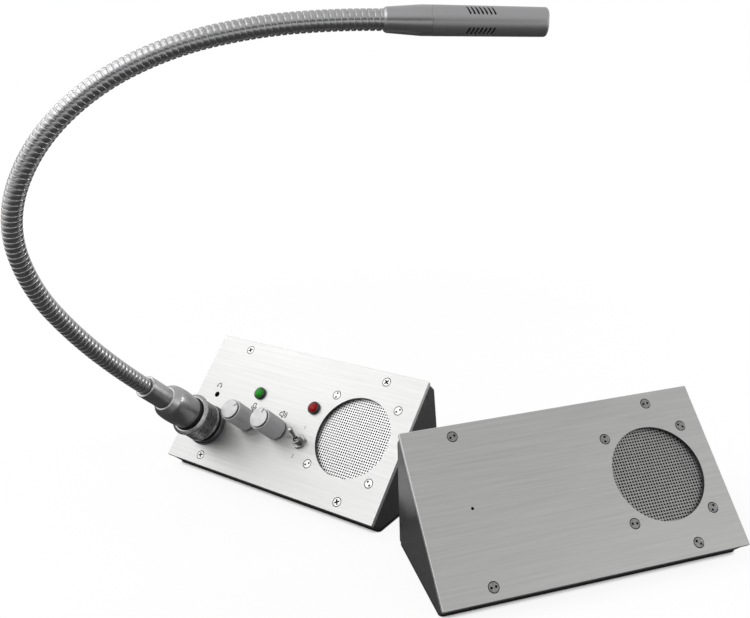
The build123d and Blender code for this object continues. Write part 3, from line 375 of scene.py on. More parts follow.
def ease(outline, radius, steps=4):
    """Cuts each inner corner back by the radius and joins the cuts with a curve bent to the corner:
    (1-t)^2 start + 2t(1-t) corner + t^2 end."""
    p = np.asarray(outline, float)
    before, corner, after = p[:-2], p[1:-1], p[2:]
    back, on = before - corner, after - corner
    reach = np.minimum(
        radius, 0.45 * np.minimum(np.linalg.norm(back, axis=1), np.linalg.norm(on, axis=1)))
    start = corner + back / np.linalg.norm(back, axis=1, keepdims=True) * reach[:, None]
    end = corner + on / np.linalg.norm(on, axis=1, keepdims=True) * reach[:, None]
    t = np.linspace(0, 1, steps + 1)[None, :, None]
    bent = (1 - t) ** 2 * start[:, None] + 2 * t * (1 - t) * corner[:, None] + t ** 2 * end[:, None]
    return np.vstack([p[:1], bent.reshape(-1, 2), p[-1:]])


def smooth_step(value):
    """3v^2 - 2v^3, held to 0 and 1 outside."""
    v = np.clip(value, 0, 1)
    return v * v * (3 - 2 * v)


def grid_faces(rows, columns, closed=True):
    """Quads between neighbouring points of a grid; the last column joins the first if closed."""
    i = np.arange(rows - 1)[:, None] * columns
    j = np.arange(columns if closed else columns - 1)[None, :]
    k = (j + 1) % columns
    return np.stack([i + j, i + k, i + columns + k, i + columns + j], axis=-1).reshape(-1, 4)


def make_piece(name, points, faces, materials, uv=None, smooth=35.0):
    """A mesh from arrays of points in metres and quads, with its doubles merged and faces outward.
    One pair of uv numbers for each point becomes the map "along"."""
    mesh = bpy.data.meshes.new(name)
    mesh.from_pydata(points.tolist(), [], faces.tolist())
    if uv is not None:
        layer = mesh.uv_layers.new(name="along")
        corners = np.zeros(len(mesh.loops), np.int32)
        mesh.loops.foreach_get("vertex_index", corners)
        layer.data.foreach_set("uv", uv[corners].astype(np.float32).ravel())
    tidy_mesh(mesh)
    if smooth:
        mesh.polygons.foreach_set("use_smooth", np.ones(len(mesh.polygons), bool))
        mesh.set_sharp_from_angle(angle=math.radians(smooth))
    for material in materials:
        mesh.materials.append(material)
    print(name, len(mesh.polygons), "faces")
    return put(name, mesh)


def tidy_mesh(mesh):
    """Merges points closer than two microns, drops faces with no area, turns the rest outward."""
    work = bmesh.new()
    work.from_mesh(mesh)
    bmesh.ops.remove_doubles(work, verts=work.verts, dist=2e-6)
    bmesh.ops.dissolve_degenerate(work, edges=work.edges, dist=1e-7)
    bmesh.ops.recalc_face_normals(work, faces=work.faces)
    work.to_mesh(mesh)
    work.free()


def lathe_grid(outline, columns):
    """Angle, radius and height of each point (i, j): the outline's point i at 2 pi j / columns."""
    p = np.asarray(outline, float)
    angle = np.linspace(0, 2 * np.pi, columns, endpoint=False)
    return np.broadcast_arrays(angle[None], p[:, :1], p[:, 1:2])


def round_points(angle, radius, height):
    """Points (radius times cos, radius times sin, height)."""
    return np.stack([radius * np.cos(angle), radius * np.sin(angle), height], axis=-1).reshape(-1, 3)


def lathe_points(outline, columns=96, wave=None):
    """The outline carried round the axis. A wave adds to the radius as a function of height, angle
    and radius."""
    angle, radius, height = lathe_grid(outline, columns)
    if wave is not None:
        radius = radius + wave(height, angle, radius)
    return round_points(angle, radius, height)


def lathe(name, outline, station, x, y, material, body, replaces=(), columns=96, wave=None, soft=35.0):
    """A turned piece: the outline carried round the plate's own outward line at (x, y)."""
    points = station.place(lathe_points(outline, columns, wave), x, y)
    piece = make_piece(name, points, grid_faces(len(outline), columns), [material], smooth=soft)
    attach(piece, body)
    if replaces:
        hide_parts(*replaces)
    return piece


print("an eased corner adds", len(ease([(1, 0), (1, 1), (0, 1)], 0.1)) - 3, "points")

# %% [markdown]
# The microphone plugs into a four-part connector. A bevelled dark flange sits on the plate, a
# knurled ring draws the plug down, a black gasket shows between ring and plug, and the plug's shell
# swells like a barrel before it closes on a long sleeve. The ring's knurl is rolled in as two sets of
# crossing grooves, so its radius follows the lower of two slanted waves. A bump map would be quicker,
# but the ring is seen against the plate, where only real ridges break its edge.

# %% Receptacle and knurled ring
MIC_AT = (-76.7, -23.6)
RING_R, RING_WAVES = 15.8, 80

lathe("receptacle", ease([
    (10.6, 15), (10.6, 21), (13.6, 21), (13.6, 4.0), (15.6, 4.0), (16.8, 2.8), (16.8, 0), (13, 0)], 0.25),
    teller, *MIC_AT, zinc_dark, "stations", ["mic_receptacle"])


def diamond(height, angle, radius):
    """Inside the band, the lower of two slanted waves of 1.24 mm pitch; outside it, nothing."""
    arc = angle * RING_R
    pitch = 2 * np.pi * RING_R / RING_WAVES
    one = np.abs(np.sin(np.pi * (arc + height) / pitch))
    two = np.abs(np.sin(np.pi * (arc - height) / pitch))
    band = (radius > 15.75) & (radius < 15.95) & (height > 9.4) & (height < 21.5)
    return np.where(band, 0.9 * np.minimum(one, two) - 0.45, 0.0)


band_rows = [(RING_R, h) for h in np.linspace(9.45, 21.35, 62)]
lathe("knurled_ring", np.vstack([
    ease([(13.9, 7.0), (15.7, 7.0), (16.1, 7.4), (16.1, 9.0), (RING_R, 9.3)], 0.15),
    band_rows,
    ease([
        (RING_R, 21.5), (16.1, 21.8), (16.1, 23.2), (17.3, 23.6), (17.3, 24.4), (14.9, 26.0),
        (13.9, 26.0), (13.9, 22.5)], 0.18)]),
    teller, *MIC_AT, nickel_knurl, "coupling_ring", ["coupling_ring"], columns=480, wave=diamond)

# %% Gasket, plug shell and sleeve
lathe("gasket_ring", ease([(12.3, 22.2), (13.3, 22.2), (13.3, 28.4), (12.8, 29), (12.3, 29)], 0.2),
      teller, *MIC_AT, rubber, "stations", ["plug_gasket"])


def belly(start, middle, end, rise, count=28):
    """A smooth barrel line through three radii: a parabola in height fitted to them."""
    h = np.linspace(0, 1, count)
    curve = start * (1 - h) * (1 - 2 * h) + middle * 4 * h * (1 - h) + end * h * (2 * h - 1)
    return np.column_stack([curve, rise[0] + h * (rise[1] - rise[0])])


shell_line = np.vstack([
    [(12.3, 29.0)],
    ease([(12.3, 29.0), (13.2, 29.0), (13.25, 30.2)], 0.3)[1:-1],
    belly(13.25, 13.93, 13.6, (30.2, 49.5)),
    ease([(13.6, 49.5), (13.2, 52.4), (9.8, 57.2), (8.75, 57.5)], 1.9)[1:],
    [(8.7, 56.0)]])
lathe("plug_shell", shell_line, teller, *MIC_AT, nickel_satin, "stations", ["mic_plug_shell"])
lathe("neck_collar", ease([
    (8.7, 55.0), (8.7, 79.6), (8.3, 80.0), (6.6, 80.0), (6.5, 76.0)], 0.25),
    teller, *MIC_AT, nickel_satin, "stations", ["neck_sleeve"])

# %% [markdown]
# Each level knob is a turned aluminium barrel with a straight knurl, a black ring let in below its
# face, and a bright spun disc with a short index line. Spinning leaves rings finer than a tenth of a
# millimetre, which stretch each highlight across them. An anisotropic shader does that when it knows
# the rings' direction, so the disc is its own piece with a UV map whose U runs round the axis.

# %% Spun disc
spun_cap, tree, shader = new_material(
    "spun_aluminium_cap", Metallic=1.0, Anisotropic=0.9, Roughness=0.32)
around = add(tree, "ShaderNodeTangent", direction_type="UV_MAP", uv_map="along")
uv_spot = add(tree, "ShaderNodeUVMap", uv_map="along")
ring_scale = add(tree, "ShaderNodeMapping", {"Vector": uv_spot.outputs[0], "Scale": (6, 90, 1)})
rings = add(tree, "ShaderNodeTexNoise", {"Vector": ring_scale.outputs[0], "Scale": 1.0, "Detail": 2.0})
ring_tint = add(tree, "ShaderNodeMapRange", {
    "Value": rings.outputs["Fac"], "From Min": 0.3, "From Max": 0.7, "To Min": 0.86, "To Max": 1.0})
cap_colour = add(tree, "ShaderNodeMix", {
    "Factor": 1.0, 6: linear("#acacac"), 7: ring_tint.outputs[0]}, data_type="RGBA", blend_type="MULTIPLY")
tree.links.new(cap_colour.outputs[2], shader.inputs["Base Color"])
tree.links.new(around.outputs[0], shader.inputs["Tangent"])
print("spun finish", spun_cap.name)

# %% Knobs
TALK_AT, LISTEN_AT = (-39.8, -10.5), (-8.8, -10.5)
KNOB_R, RIDGES, RIDGE_DEPTH = 8.8, 60, 0.28
DISC_TOP = 25.8


def knurl(height, angle, radius):
    """Straight ridges on the barrel's side: a wave of the angle, never higher than the radius."""
    side = (radius > 8.75) & (height > 1.8) & (height < 23.8)
    return np.where(side, -RIDGE_DEPTH * (0.5 - 0.5 * np.cos(RIDGES * angle)), 0.0)


def knob(name, body, x, y, index_degrees):
    """Barrel, ring and disc stand on the plate at (x, y); the index line points at the angle."""
    foot = ease([(6.8, 6.4), (6.8, 1.3), (KNOB_R, 1.3), (KNOB_R, 1.9)], 0.12)
    side = [(KNOB_R, h) for h in np.linspace(2.1, 23.6, 12)]
    crown = ease([(KNOB_R, 23.8), (8.6, 24.2), (7.6, 24.2)], 0.12)
    lathe(f"{name}_barrel", np.vstack([foot, side, crown]), teller, x, y, knob_aluminium, body, [name],
          columns=480, wave=knurl)
    lathe(f"{name}_ring", ease([(7.6, 24.1), (7.9, 24.2), (7.9, 25.2), (7.5, 25.3)], 0.05),
          teller, x, y, bezel_black, body)
    outline = ease([
        (7.4, 25.2), (7.75, 25.2), (7.75, 25.5), (7.45, DISC_TOP), (0.4, DISC_TOP), (0.0, DISC_TOP)], 0.1)
    columns = 128
    points = teller.place(lathe_points(outline, columns), x, y)
    uv = np.column_stack([
        np.tile(np.arange(columns) / columns, len(outline)),
        np.repeat(outline[:, 0] / KNOB_R, columns)])
    cap = make_piece(f"{name}_disc", points, grid_faces(len(outline), columns), [spun_cap], uv=uv)
    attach(cap, body)
    corners = ((-0.4, 4.35), (0.4, 4.35), (0.4, 7.6), (-0.4, 7.6))
    line = np.array([(*corner, DISC_TOP + 0.02) for corner in corners])
    line = turn_about_z(line, math.radians(index_degrees))
    mark = make_piece(f"{name}_index", teller.place(line, x, y), np.array([[0, 1, 2, 3]]), [ink])
    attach(mark, body)


knob("talk_knob", "talk_knob", *TALK_AT, -45)
knob("listen_knob", "listen_knob", *LISTEN_AT, -13)

# %% [markdown]
# Lamps and toggle. The lens is a shallow acrylic dome in a black bezel. The toggle has a dress nut,
# whose six flats are cut by a chamfer cone, a threaded bushing and a bat-shaped lever that leans up
# the plate. A six-sided cylinder would miss the curved line where the cone meets the flats, so the
# nut is a turned piece whose radius is the smaller of flat and cone.

# %% Lamps
LAMP_Y, LENS_R = 13.8, 3.85

for name, x, material in (("green", -39.3, green_lens), ("red", 17.4, red_lens)):
    rise = np.linspace(0, 1, 12)
    dome = np.column_stack([LENS_R * np.cos(rise * np.pi / 2), 2.3 + 2.1 * np.sin(rise * np.pi / 2)])
    lathe(f"{name}_lens_dome", np.vstack([[(LENS_R, 0.8)], dome]), teller, x, LAMP_Y, material,
          "stations", [f"{name}_lamp_lens"], columns=64)
    lathe(f"{name}_bezel", ease([
        (3.9, 0.6), (3.9, 2.4), (4.6, 2.4), (5.1, 1.9), (5.1, 0.0), (3.9, 0.0)], 0.2),
        teller, x, LAMP_Y, bezel_black, "stations", ["lamp_bezels"] if name == "red" else (), columns=64)

# %% Toggle's nut and bushing
MUTE_AT = (17.4, -14.4)


def hexagon(height, angle, radius):
    """Flats 10.2 mm across, cut back by a cone at the top edge."""
    flat = 5.1 / np.cos((angle + np.pi / 6) % (np.pi / 3) - np.pi / 6)
    cone = 5.95 - np.maximum(0, height - 1.9) * 1.1
    outer = radius > 5.0
    return np.where(outer, np.minimum(flat, cone) - radius, 0.0)


lathe("toggle_nut", np.array([
    (5.9, 0.0), (5.9, 0.6), (5.9, 1.2), (5.9, 1.8), (5.9, 1.9), (5.9, 2.05), (5.9, 2.2), (5.9, 2.4),
    (4.9, 2.4), (3.4, 2.4), (3.15, 2.2)]),
    teller, *MUTE_AT, nickel_bright, "stations", ["mute_switch_nut"], columns=144, wave=hexagon, soft=25)


def thread(height, angle, radius):
    """A fine thread: ridges of 0.55 mm pitch, 0.12 mm high."""
    turns = height / 0.55 - angle / (2 * np.pi)
    return np.where(radius > 3.0, 0.12 * (0.5 + 0.5 * np.cos(2 * np.pi * turns)), 0)


lathe("toggle_bushing", np.vstack([
    [(3.12, h) for h in np.linspace(2.2, 6.2, 44)], [(2.9, 6.42), (2.46, 6.42), (2.46, 4.4)]]),
    teller, *MUTE_AT, nickel_bright, "stations", columns=64, wave=thread)

# %% Toggle's lever
LEAN = math.radians(16.5)
BALL_R, BALL_AT = 2.4, 4.2
bat = np.vstack([
    [(1.2, 1.8), (1.2, 4.0)],
    belly(1.2, 1.4, 1.75, (4.0, 12.4), 12),
    ease([(1.75, 12.4), (1.75, 14.0), (0.9, 14.2), (0.0, 14.2)], 0.9)[1:]])
stick = lathe_points(bat, 48)
ball_rise = np.linspace(-np.pi / 2, np.pi / 2, 20)
ball = lathe_points(np.column_stack([BALL_R * np.cos(ball_rise), BALL_R * np.sin(ball_rise)]), 48)
both = np.vstack([stick, ball])
faces = np.vstack([grid_faces(len(bat), 48), grid_faces(20, 48) + len(stick)])
tilt = np.array([[1, 0, 0], [0, math.cos(LEAN), -math.sin(LEAN)], [0, math.sin(LEAN), math.cos(LEAN)]])
lever = make_piece(
    "toggle_lever", teller.place(both @ tilt + [0, 0, BALL_AT], *MUTE_AT), faces, [nickel_bright])
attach(lever, "mute_lever")
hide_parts("mute_switch_lever")

# %% [markdown]
# Each station stands on a black rubber mat that reaches to the housing's edge, and shows from the
# front as a thin dark line. Carried out to the edge, the mat's black also stands in for the shade in
# the gap under the housing, so that line is partly rubber and partly painted shade. Its outline is a
# rectangle with round corners: the corner point moves along four quarter circles while the angle goes
# round. A bevelled box would do as well, but this way the same rings of points also round its upper
# and lower edges.

# %% Base mats
PAD_HALF = np.array([103.3, 41.4])


def mat_points(half, corner, heights, steps=8):
    """Round rectangle: corner centre (sign of cos, sign of sin) plus corner times (cos, sin)."""
    angle = (np.arange(4 * steps) + 0.5) * 2 * np.pi / (4 * steps)
    c, s = np.cos(angle), np.sin(angle)
    ring = np.column_stack([np.sign(c) * (half[0] - corner) + corner * c,
                            np.sign(s) * (half[1] - corner) + corner * s])
    return np.vstack([np.column_stack([ring * k, np.full(len(ring), z)]) for k, z in heights])


# The mat reaches the housing's edge: there its black is partly painted shade for the gap underneath.
mat = mat_points(PAD_HALF, 3.0, [
    (0.0, 0.02), (0.995, 0.02), (1.0, 0.3), (1.0, 1.2), (0.995, 1.48), (0.0, 1.48)])
for name, station in (("teller_mat", teller), ("customer_mat", customer)):
    placed = (turn_about_z(mat, station.turn) + station.at) * MM
    piece = make_piece(name, placed, grid_faces(6, 32), [rubber])
    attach(piece, station.body)
    if station is teller:
        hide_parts("base_pads")

# %% [markdown]
# The grille is steel sheet punched on a square grid: round holes 1.4 mm across every 2 mm. Each hole
# is one small tile, a square with a round hole joined front to back, and the sheet is that tile
# copied by array arithmetic over a disc that reaches past the plate's round opening. Cutting some 900
# holes with booleans would be slow and leave ragged faces, and a texture of holes looks flat from the
# side. Inside the holes and behind the sheet no light gets out again, so those faces get painted
# shade: a near-black material of their own.

# %% Grilles
PITCH_MM, HOLE_R, SHEET_T = 2.0, 0.69, 0.5
SPEAKER_X, DISC_R, PLATE_T = 60.8, 34.5, 3.2


def tile(sides=16):
    """Rings of points: square outline front, hole front, hole back, square outline back."""
    angle = np.arange(sides) * 2 * np.pi / sides + np.pi / sides
    c, s = np.cos(angle), np.sin(angle)
    square = np.column_stack([c, s]) / np.maximum(np.abs(c), np.abs(s))[:, None] * PITCH_MM / 2
    hole = np.column_stack([c, s]) * HOLE_R
    rings = [np.column_stack([ring, np.full(sides, z)]) for ring, z in (
        (square, 0), (hole, 0), (hole, -SHEET_T), (square, -SHEET_T))]
    return np.vstack(rings), grid_faces(4, sides)


def snap_corners(points):
    """Moves the tile's outline points that lie nearest to its corners onto them."""
    half = PITCH_MM / 2
    edge = np.isclose(np.abs(points[:, :2]).max(1), half)
    near = edge & (np.abs(points[:, :2]).min(1) > 0.6 * half)
    points[near, :2] = np.sign(points[near, :2]) * half
    return points


def copied_faces(faces, copies, points_each):
    """The faces of many like pieces whose points follow each other: copy k adds k times a count."""
    return (np.arange(copies)[:, None, None] * points_each + faces[None]).reshape(-1, 4)


def read_rows(items, what):
    """A vector of each of a mesh's vertices or polygons, as rows of three numbers."""
    values = np.zeros(len(items) * 3, np.float32)
    items.foreach_get(what, values)
    return values.reshape(-1, 3)


def grille(name, station, node, sheet):
    """The tile at every point of the square grid inside the disc's radius. Faces that look out of
    the plate are sheet, and all others get the painted shade of the holes."""
    cell, cell_faces = tile()
    cell = snap_corners(cell)
    index = np.arange(-17, 18) * PITCH_MM
    gx, gy = np.meshgrid(index, index)
    keep = gx ** 2 + gy ** 2 < DISC_R ** 2
    centres = np.column_stack([gx[keep], gy[keep], np.zeros(keep.sum())])
    points = (centres[:, None] + cell[None]).reshape(-1, 3)
    faces = copied_faces(cell_faces, len(centres), len(cell))
    points = station.place(points + [0, 0, -PLATE_T], SPEAKER_X, 0.0)
    # punched is painted shade: the holes' walls and the sheet's back get it.
    piece = make_piece(name, points, faces, [sheet, punched], smooth=30)
    front = read_rows(piece.data.polygons, "normal") @ station.out > 0.9
    piece.data.polygons.foreach_set("material_index", np.where(front, 0, 1).astype(np.int32))
    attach(piece, station.body)
    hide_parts(node)
    print(name, "holes", len(centres))


grille("teller_punched_sheet", teller, "teller_grille", perforated_bright)
grille("customer_punched_sheet", customer, "customer_grille", perforated_painted_shade)

# %% [markdown]
# The screws are flat heads in countersunk holes, so what the eye finds is a thin dark gap round each
# head and the recess in it. Both are shaped, and both are also darkened with painted shade. The teller
# plate's corners have a cross recess; every other head has two blind holes that only a spanner bit
# fits. A head is a polar grid: each point's depth comes from how far it lies inside the recess, which
# keeps the faces even where a cut would leave slivers.

# %% Recesses and a screw head
HEAD_R = 3.12
CORNER_X, CORNER_Y = 70.3, 48.0
SPEAKER_HALF = 28.575
CORNERS = [(x * CORNER_X, y * CORNER_Y) for y in (1, -1) for x in (-1, 1)]
SPEAKER_CORNERS = [
    (SPEAKER_X + x * SPEAKER_HALF, y * SPEAKER_HALF) for y in (1, -1) for x in (-1, 1)]


def two_holes(x, y):
    """Depth of two holes of 0.7 mm radius, 3.2 mm apart."""
    return 1.0 * smooth_step((0.80 - np.hypot(np.abs(x) - 1.6, y)) / 0.2)


def cross(x, y):
    """Depth of two crossed slots 1 mm wide and 4.2 mm long, deeper towards the middle."""
    inside = np.maximum(
        smooth_step((0.56 - np.abs(y)) / 0.16) * smooth_step((2.2 - np.abs(x)) / 0.3),
        smooth_step((0.56 - np.abs(x)) / 0.16) * smooth_step((2.2 - np.abs(y)) / 0.3))
    return inside * (1.5 - 0.4 * np.hypot(x, y))


def screw_heads(name, station, places, turns, recess, material):
    """Polar grids: radius and height follow a shallow dome, an eased rim and the cone under it. What
    lies more than 0.2 mm under the plate's face gets painted shade."""
    top = np.linspace(0.0, HEAD_R - 0.25, 34)
    under = ease([(HEAD_R - 0.2, 0.06), (HEAD_R, 0.0), (HEAD_R, -0.15), (1.75, -1.9), (1.75, -9.0)], 0.12)
    outline = np.vstack([np.column_stack([top, 0.14 - 0.07 * (top / HEAD_R) ** 2]), under])
    columns = 72
    grid = lathe_points(outline, columns)
    flat = np.repeat(np.arange(len(outline)) < len(top), columns)
    depth = np.where(flat, recess(grid[:, 0], grid[:, 1]), 0)
    grid[:, 2] -= depth
    points = np.vstack([
        turn_about_z(grid, math.radians(turn)) + [x, y, 0] for (x, y), turn in zip(places, turns)])
    faces = copied_faces(grid_faces(len(outline), columns), len(places), len(grid))
    piece = make_piece(name, station.place(points), faces, [material, punched])
    level = (read_rows(piece.data.polygons, "center") / MM - station.centre) @ station.out
    # Painted shade in the recesses and under the head's rim: those faces take the punched material.
    piece.data.polygons.foreach_set("material_index", (level < -0.2).astype(np.int32))
    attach(piece, station.body)
    return piece


# %% Screw heads
for name, station, places, turns, recess, material in (
        ("teller_speaker", teller, SPEAKER_CORNERS, (88, 45, 35, -45), two_holes, screw_bright),
        ("customer_speaker", customer, SPEAKER_CORNERS, (80, -35, -5, 60), two_holes, screw_painted_shade),
        ("customer_corner", customer, CORNERS, (20, 5, 5, -40), two_holes, screw_painted_shade),
        ("teller_cross", teller, CORNERS, (25, 50, 20, 30), cross, screw_bright)):
    screw_heads(f"{name}_screws", station, places, turns, recess, material)
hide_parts("spanner_screws")
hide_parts("teller_corner_screws")
print("screw heads", len(SPEAKER_CORNERS) * 2 + len(CORNERS) * 2)

# %% [markdown]
# The gooseneck is a steel strip wound into a hose: each turn laps the next, so the outside is a row
# of rounded bands 3.7 mm apart with a narrow dark step between them. It follows nine arcs. Each
# arc bends by its own angle, and the plane of the bend is rolled about the hose from one arc to the
# next. A ring copied along a curve would put its steps square to the hose, but a wound strip climbs.
# So the surface is one long spiral strip: row after row advances along the band's outline while the
# angle goes round, the mesh lines lie along the winding, and each step stays sharp.
#
# The chain in the solid model has a joint between each two arcs. A piece of hose therefore reaches
# from the middle of one arc to the middle of the next, and bends across the joint between them.

# %% Gooseneck path
TURNS = np.radians([5.2, 7.7, 19.3, 30.8, 24.8, 17.6, 12.8, 8.3, 5.5])
ROLLS = np.radians([-163.8, -45.9, -9.7, 5.6, 2.0, -27.3, -10.8, -5.0, -8.1])
ARCS = np.array([50.678] * 8 + [48.978])
STARTS_AT = np.cumsum(ARCS) - ARCS
NECK_LENGTH = ARCS.sum()


def neck_frames():
    """Start point, bend axis x, sideways y and direction z of each arc, and of the end. An arc of
    radius R, its length over its bend, ends R sin(bend) ahead and R (1 - cos(bend)) to the side."""
    here = teller.place(np.array([[0, 0, 80.0]]), *MIC_AT)[0] / MM
    x, z = teller.across.copy(), teller.out.copy()
    frames = []
    for turn, roll, arc in zip(TURNS, ROLLS, ARCS):
        y = np.cross(z, x)
        x = x * math.cos(roll) + y * math.sin(roll)
        y = np.cross(z, x)
        frames.append((here, x, y, z))
        radius = arc / turn
        here = here + z * radius * math.sin(turn) - y * radius * (1 - math.cos(turn))
        z = z * math.cos(turn) - y * math.sin(turn)
    frames.append((here, x, np.cross(z, x), z))
    return [np.array(column) for column in zip(*frames)]


STARTS, AXES_X, AXES_Y, AXES_Z = neck_frames()


def hose_surface(length, angle, radius):
    """Point of the hose at a length along it, an angle round it and a radius. The angle is counted in
    a frame that never twists, so the roll between arcs is taken off again."""
    arc = np.clip(np.searchsorted(STARTS_AT, length, side="right") - 1, 0, len(TURNS) - 1)
    part = length - STARTS_AT[arc]
    inside = np.clip(part, 0, ARCS[arc])
    bend = TURNS[arc] * inside / ARCS[arc]
    big = ARCS[arc] / TURNS[arc]
    x, y, z = AXES_X[arc], AXES_Y[arc], AXES_Z[arc]
    centre = STARTS[arc] + z * (big * np.sin(bend))[..., None] - y * (big * (1 - np.cos(bend)))[..., None]
    ahead = z * np.cos(bend)[..., None] - y * np.sin(bend)[..., None]
    side = y * np.cos(bend)[..., None] + z * np.sin(bend)[..., None]
    centre = centre + ahead * (part - inside)[..., None]
    spin = angle - np.cumsum(ROLLS)[arc]
    return centre + x * (radius * np.cos(spin))[..., None] + side * (radius * np.sin(spin))[..., None]


print("hose ends at, mm", np.round(STARTS[-1], 1), "along", np.round(AXES_Z[-1], 3))

# %% Wound hose
WIND_PITCH = 3.72
TUCK_IN, TUCK_OUT = 8.0, 3.0  # mm of hose inside the sleeve and inside the microphone's cone
BAND = np.array([  # place along one pitch, radius in mm
    (0.00, 5.65), (0.09, 5.65), (0.10, 6.05), (0.12, 6.22), (0.17, 6.31), (0.28, 6.34), (0.50, 6.35),
    (0.74, 6.32), (0.84, 6.25), (0.885, 6.12), (0.90, 5.95), (0.91, 5.65)])
SIDES = 56


def hose_piece(name, first, last):
    """Rows first to last of the spiral; row i, column j lies at (i's place + j / SIDES) pitches."""
    rows = np.arange(first, last + 1)
    along = (rows // len(BAND) + BAND[rows % len(BAND), 0])[:, None] + np.arange(SIDES + 1)[None] / SIDES
    length = along * WIND_PITCH - TUCK_IN
    radius = np.repeat(BAND[rows % len(BAND), 1][:, None], SIDES + 1, axis=1)
    angle = np.broadcast_to(2 * np.pi * np.arange(SIDES + 1) / SIDES, length.shape)
    points = hose_surface(length, angle, radius) * MM
    faces = grid_faces(len(rows), SIDES + 1, closed=False)
    return make_piece(name, points.reshape(-1, 3), faces, [hose_steel], smooth=50)


def row_at(length):
    """The first spiral row at or past a length along the hose."""
    return int(round((length + TUCK_IN) / WIND_PITCH)) * len(BAND)


cuts = [-TUCK_IN, *(STARTS_AT[1:8] + ARCS[1:8] / 2), NECK_LENGTH + TUCK_OUT]
for k in range(1, 9):
    piece = hose_piece(f"hose_{k}", row_at(cuts[k - 1]), row_at(cuts[k]))
    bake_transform(piece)
    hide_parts(f"neck_link_{k}")
    if k == 8:
        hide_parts("neck_link_9")
print("hose pieces", k, "length, mm", round(NECK_LENGTH, 1))

# %% [markdown]
# The microphone is a slim turned barrel on a long cone, both in satin nickel, with a bright chamfer
# where the cone meets the hose. Four rows of seven slanted slots let sound in from the sides. The
# slots are pressed into the same grid that makes the barrel: each point's distance from a slot's
# middle line, measured on the unrolled surface, decides how deep it lies. Cut slots would break the
# smooth shading round their corners, and pressed ones keep it. The depth is also the piece's own U,
# so that the material can paint shade inside them, near black. The capsule sits inside the nose.

# %% Microphone's frame and slots
SLOT_MIDDLE, SLOT_PITCH, SLOT_SLANT, SLOT_DEPTH = 56.5, 2.45, 20, 1.3
TIP_R, TIP_AT = 8.45, 97.0
MIC_START, MIC_Z = STARTS[-1], AXES_Z[-1]
MIC_X = np.cross(MIC_Z, [0, 0, 1.0])
MIC_X /= np.linalg.norm(MIC_X)
MIC_Y = np.cross(MIC_Z, MIC_X)


def on_mic(points):
    """Points (x, y, along) in the microphone's own frame to the row frame in metres."""
    return (MIC_START + points[:, :1] * MIC_X + points[:, 1:2] * MIC_Y + points[:, 2:3] * MIC_Z) * MM


def slot_depth(height, angle, radius):
    """1 inside a slot, 0 outside. A slot is 6.2 mm long round the barrel, slants along it, and has a
    mouth 0.8 mm wide. Rows stand at 45 degrees and every quarter turn from there."""
    depth = np.zeros(height.shape)
    for row in range(4):
        off = (angle - np.radians(45 + 90 * row) + np.pi) % (2 * np.pi) - np.pi
        arc = off * radius
        slant = math.radians(SLOT_SLANT) * (1 if row % 2 else -1)
        for slot in range(7):
            along = height - (SLOT_MIDDLE + (slot - 3) * SLOT_PITCH)
            run = arc * math.cos(slant) + along * math.sin(slant)
            across = along * math.cos(slant) - arc * math.sin(slant)
            gap = np.hypot(np.maximum(np.abs(run) - 2.7, 0), across)
            depth = np.maximum(depth, smooth_step((0.52 - gap) / 0.2))
    return depth


def mic_material(name, roughness, metallic):
    """Satin nickel: a soft grey sheen, with near-black painted shade where the piece's own map says
    that a slot is deep.
    """
    material, tree, shader = new_material(name, Roughness=roughness, Metallic=metallic)
    inside = add(tree, "ShaderNodeUVMap", uv_map="along")
    parts = add(tree, "ShaderNodeSeparateXYZ", {"Vector": inside.outputs[0]})
    spot = add(tree, "ShaderNodeTexCoord")
    cloud = add(tree, "ShaderNodeTexNoise", {
        "Vector": spot.outputs["Object"], "Scale": 1000.0, "Detail": 3.0})
    paint = add(tree, "ShaderNodeMix", {
        "Factor": cloud.outputs["Fac"], 6: linear("#98989a"), 7: linear("#a0a0a1")}, data_type="RGBA")
    # Painted shade: near black inside the slots, by the depth in the piece's own map.
    painted_slot_shade = add(tree, "ShaderNodeMix", {
        "Factor": parts.outputs["X"], 6: paint.outputs[2], 7: linear("#040404")}, data_type="RGBA")
    tree.links.new(painted_slot_shade.outputs[2], shader.inputs["Base Color"])
    return material


def mic_piece(name, outline, material, replaced, columns=200):
    """A turned piece in the microphone's frame: its radius sinks by the slots' depth."""
    angle, radius, height = lathe_grid(outline, columns)
    depth = np.where((height > 46) & (height < 67), slot_depth(height, angle, radius), 0.0)
    points = round_points(angle, radius - SLOT_DEPTH * depth, height)
    uv = np.column_stack([depth.ravel(), height.ravel() / 100])
    piece = make_piece(name, on_mic(points), grid_faces(len(outline), columns), [material], uv=uv)
    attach(piece, "neck_9")
    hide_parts(*replaced)


# %% Microphone
SEAM_AT = 28.2


def barrel_radius(height):
    """A straight taper from 8.9 mm at the seam to 8.45 mm at the tip."""
    return 8.9 - 0.45 * (height - SEAM_AT) / (TIP_AT - SEAM_AT)


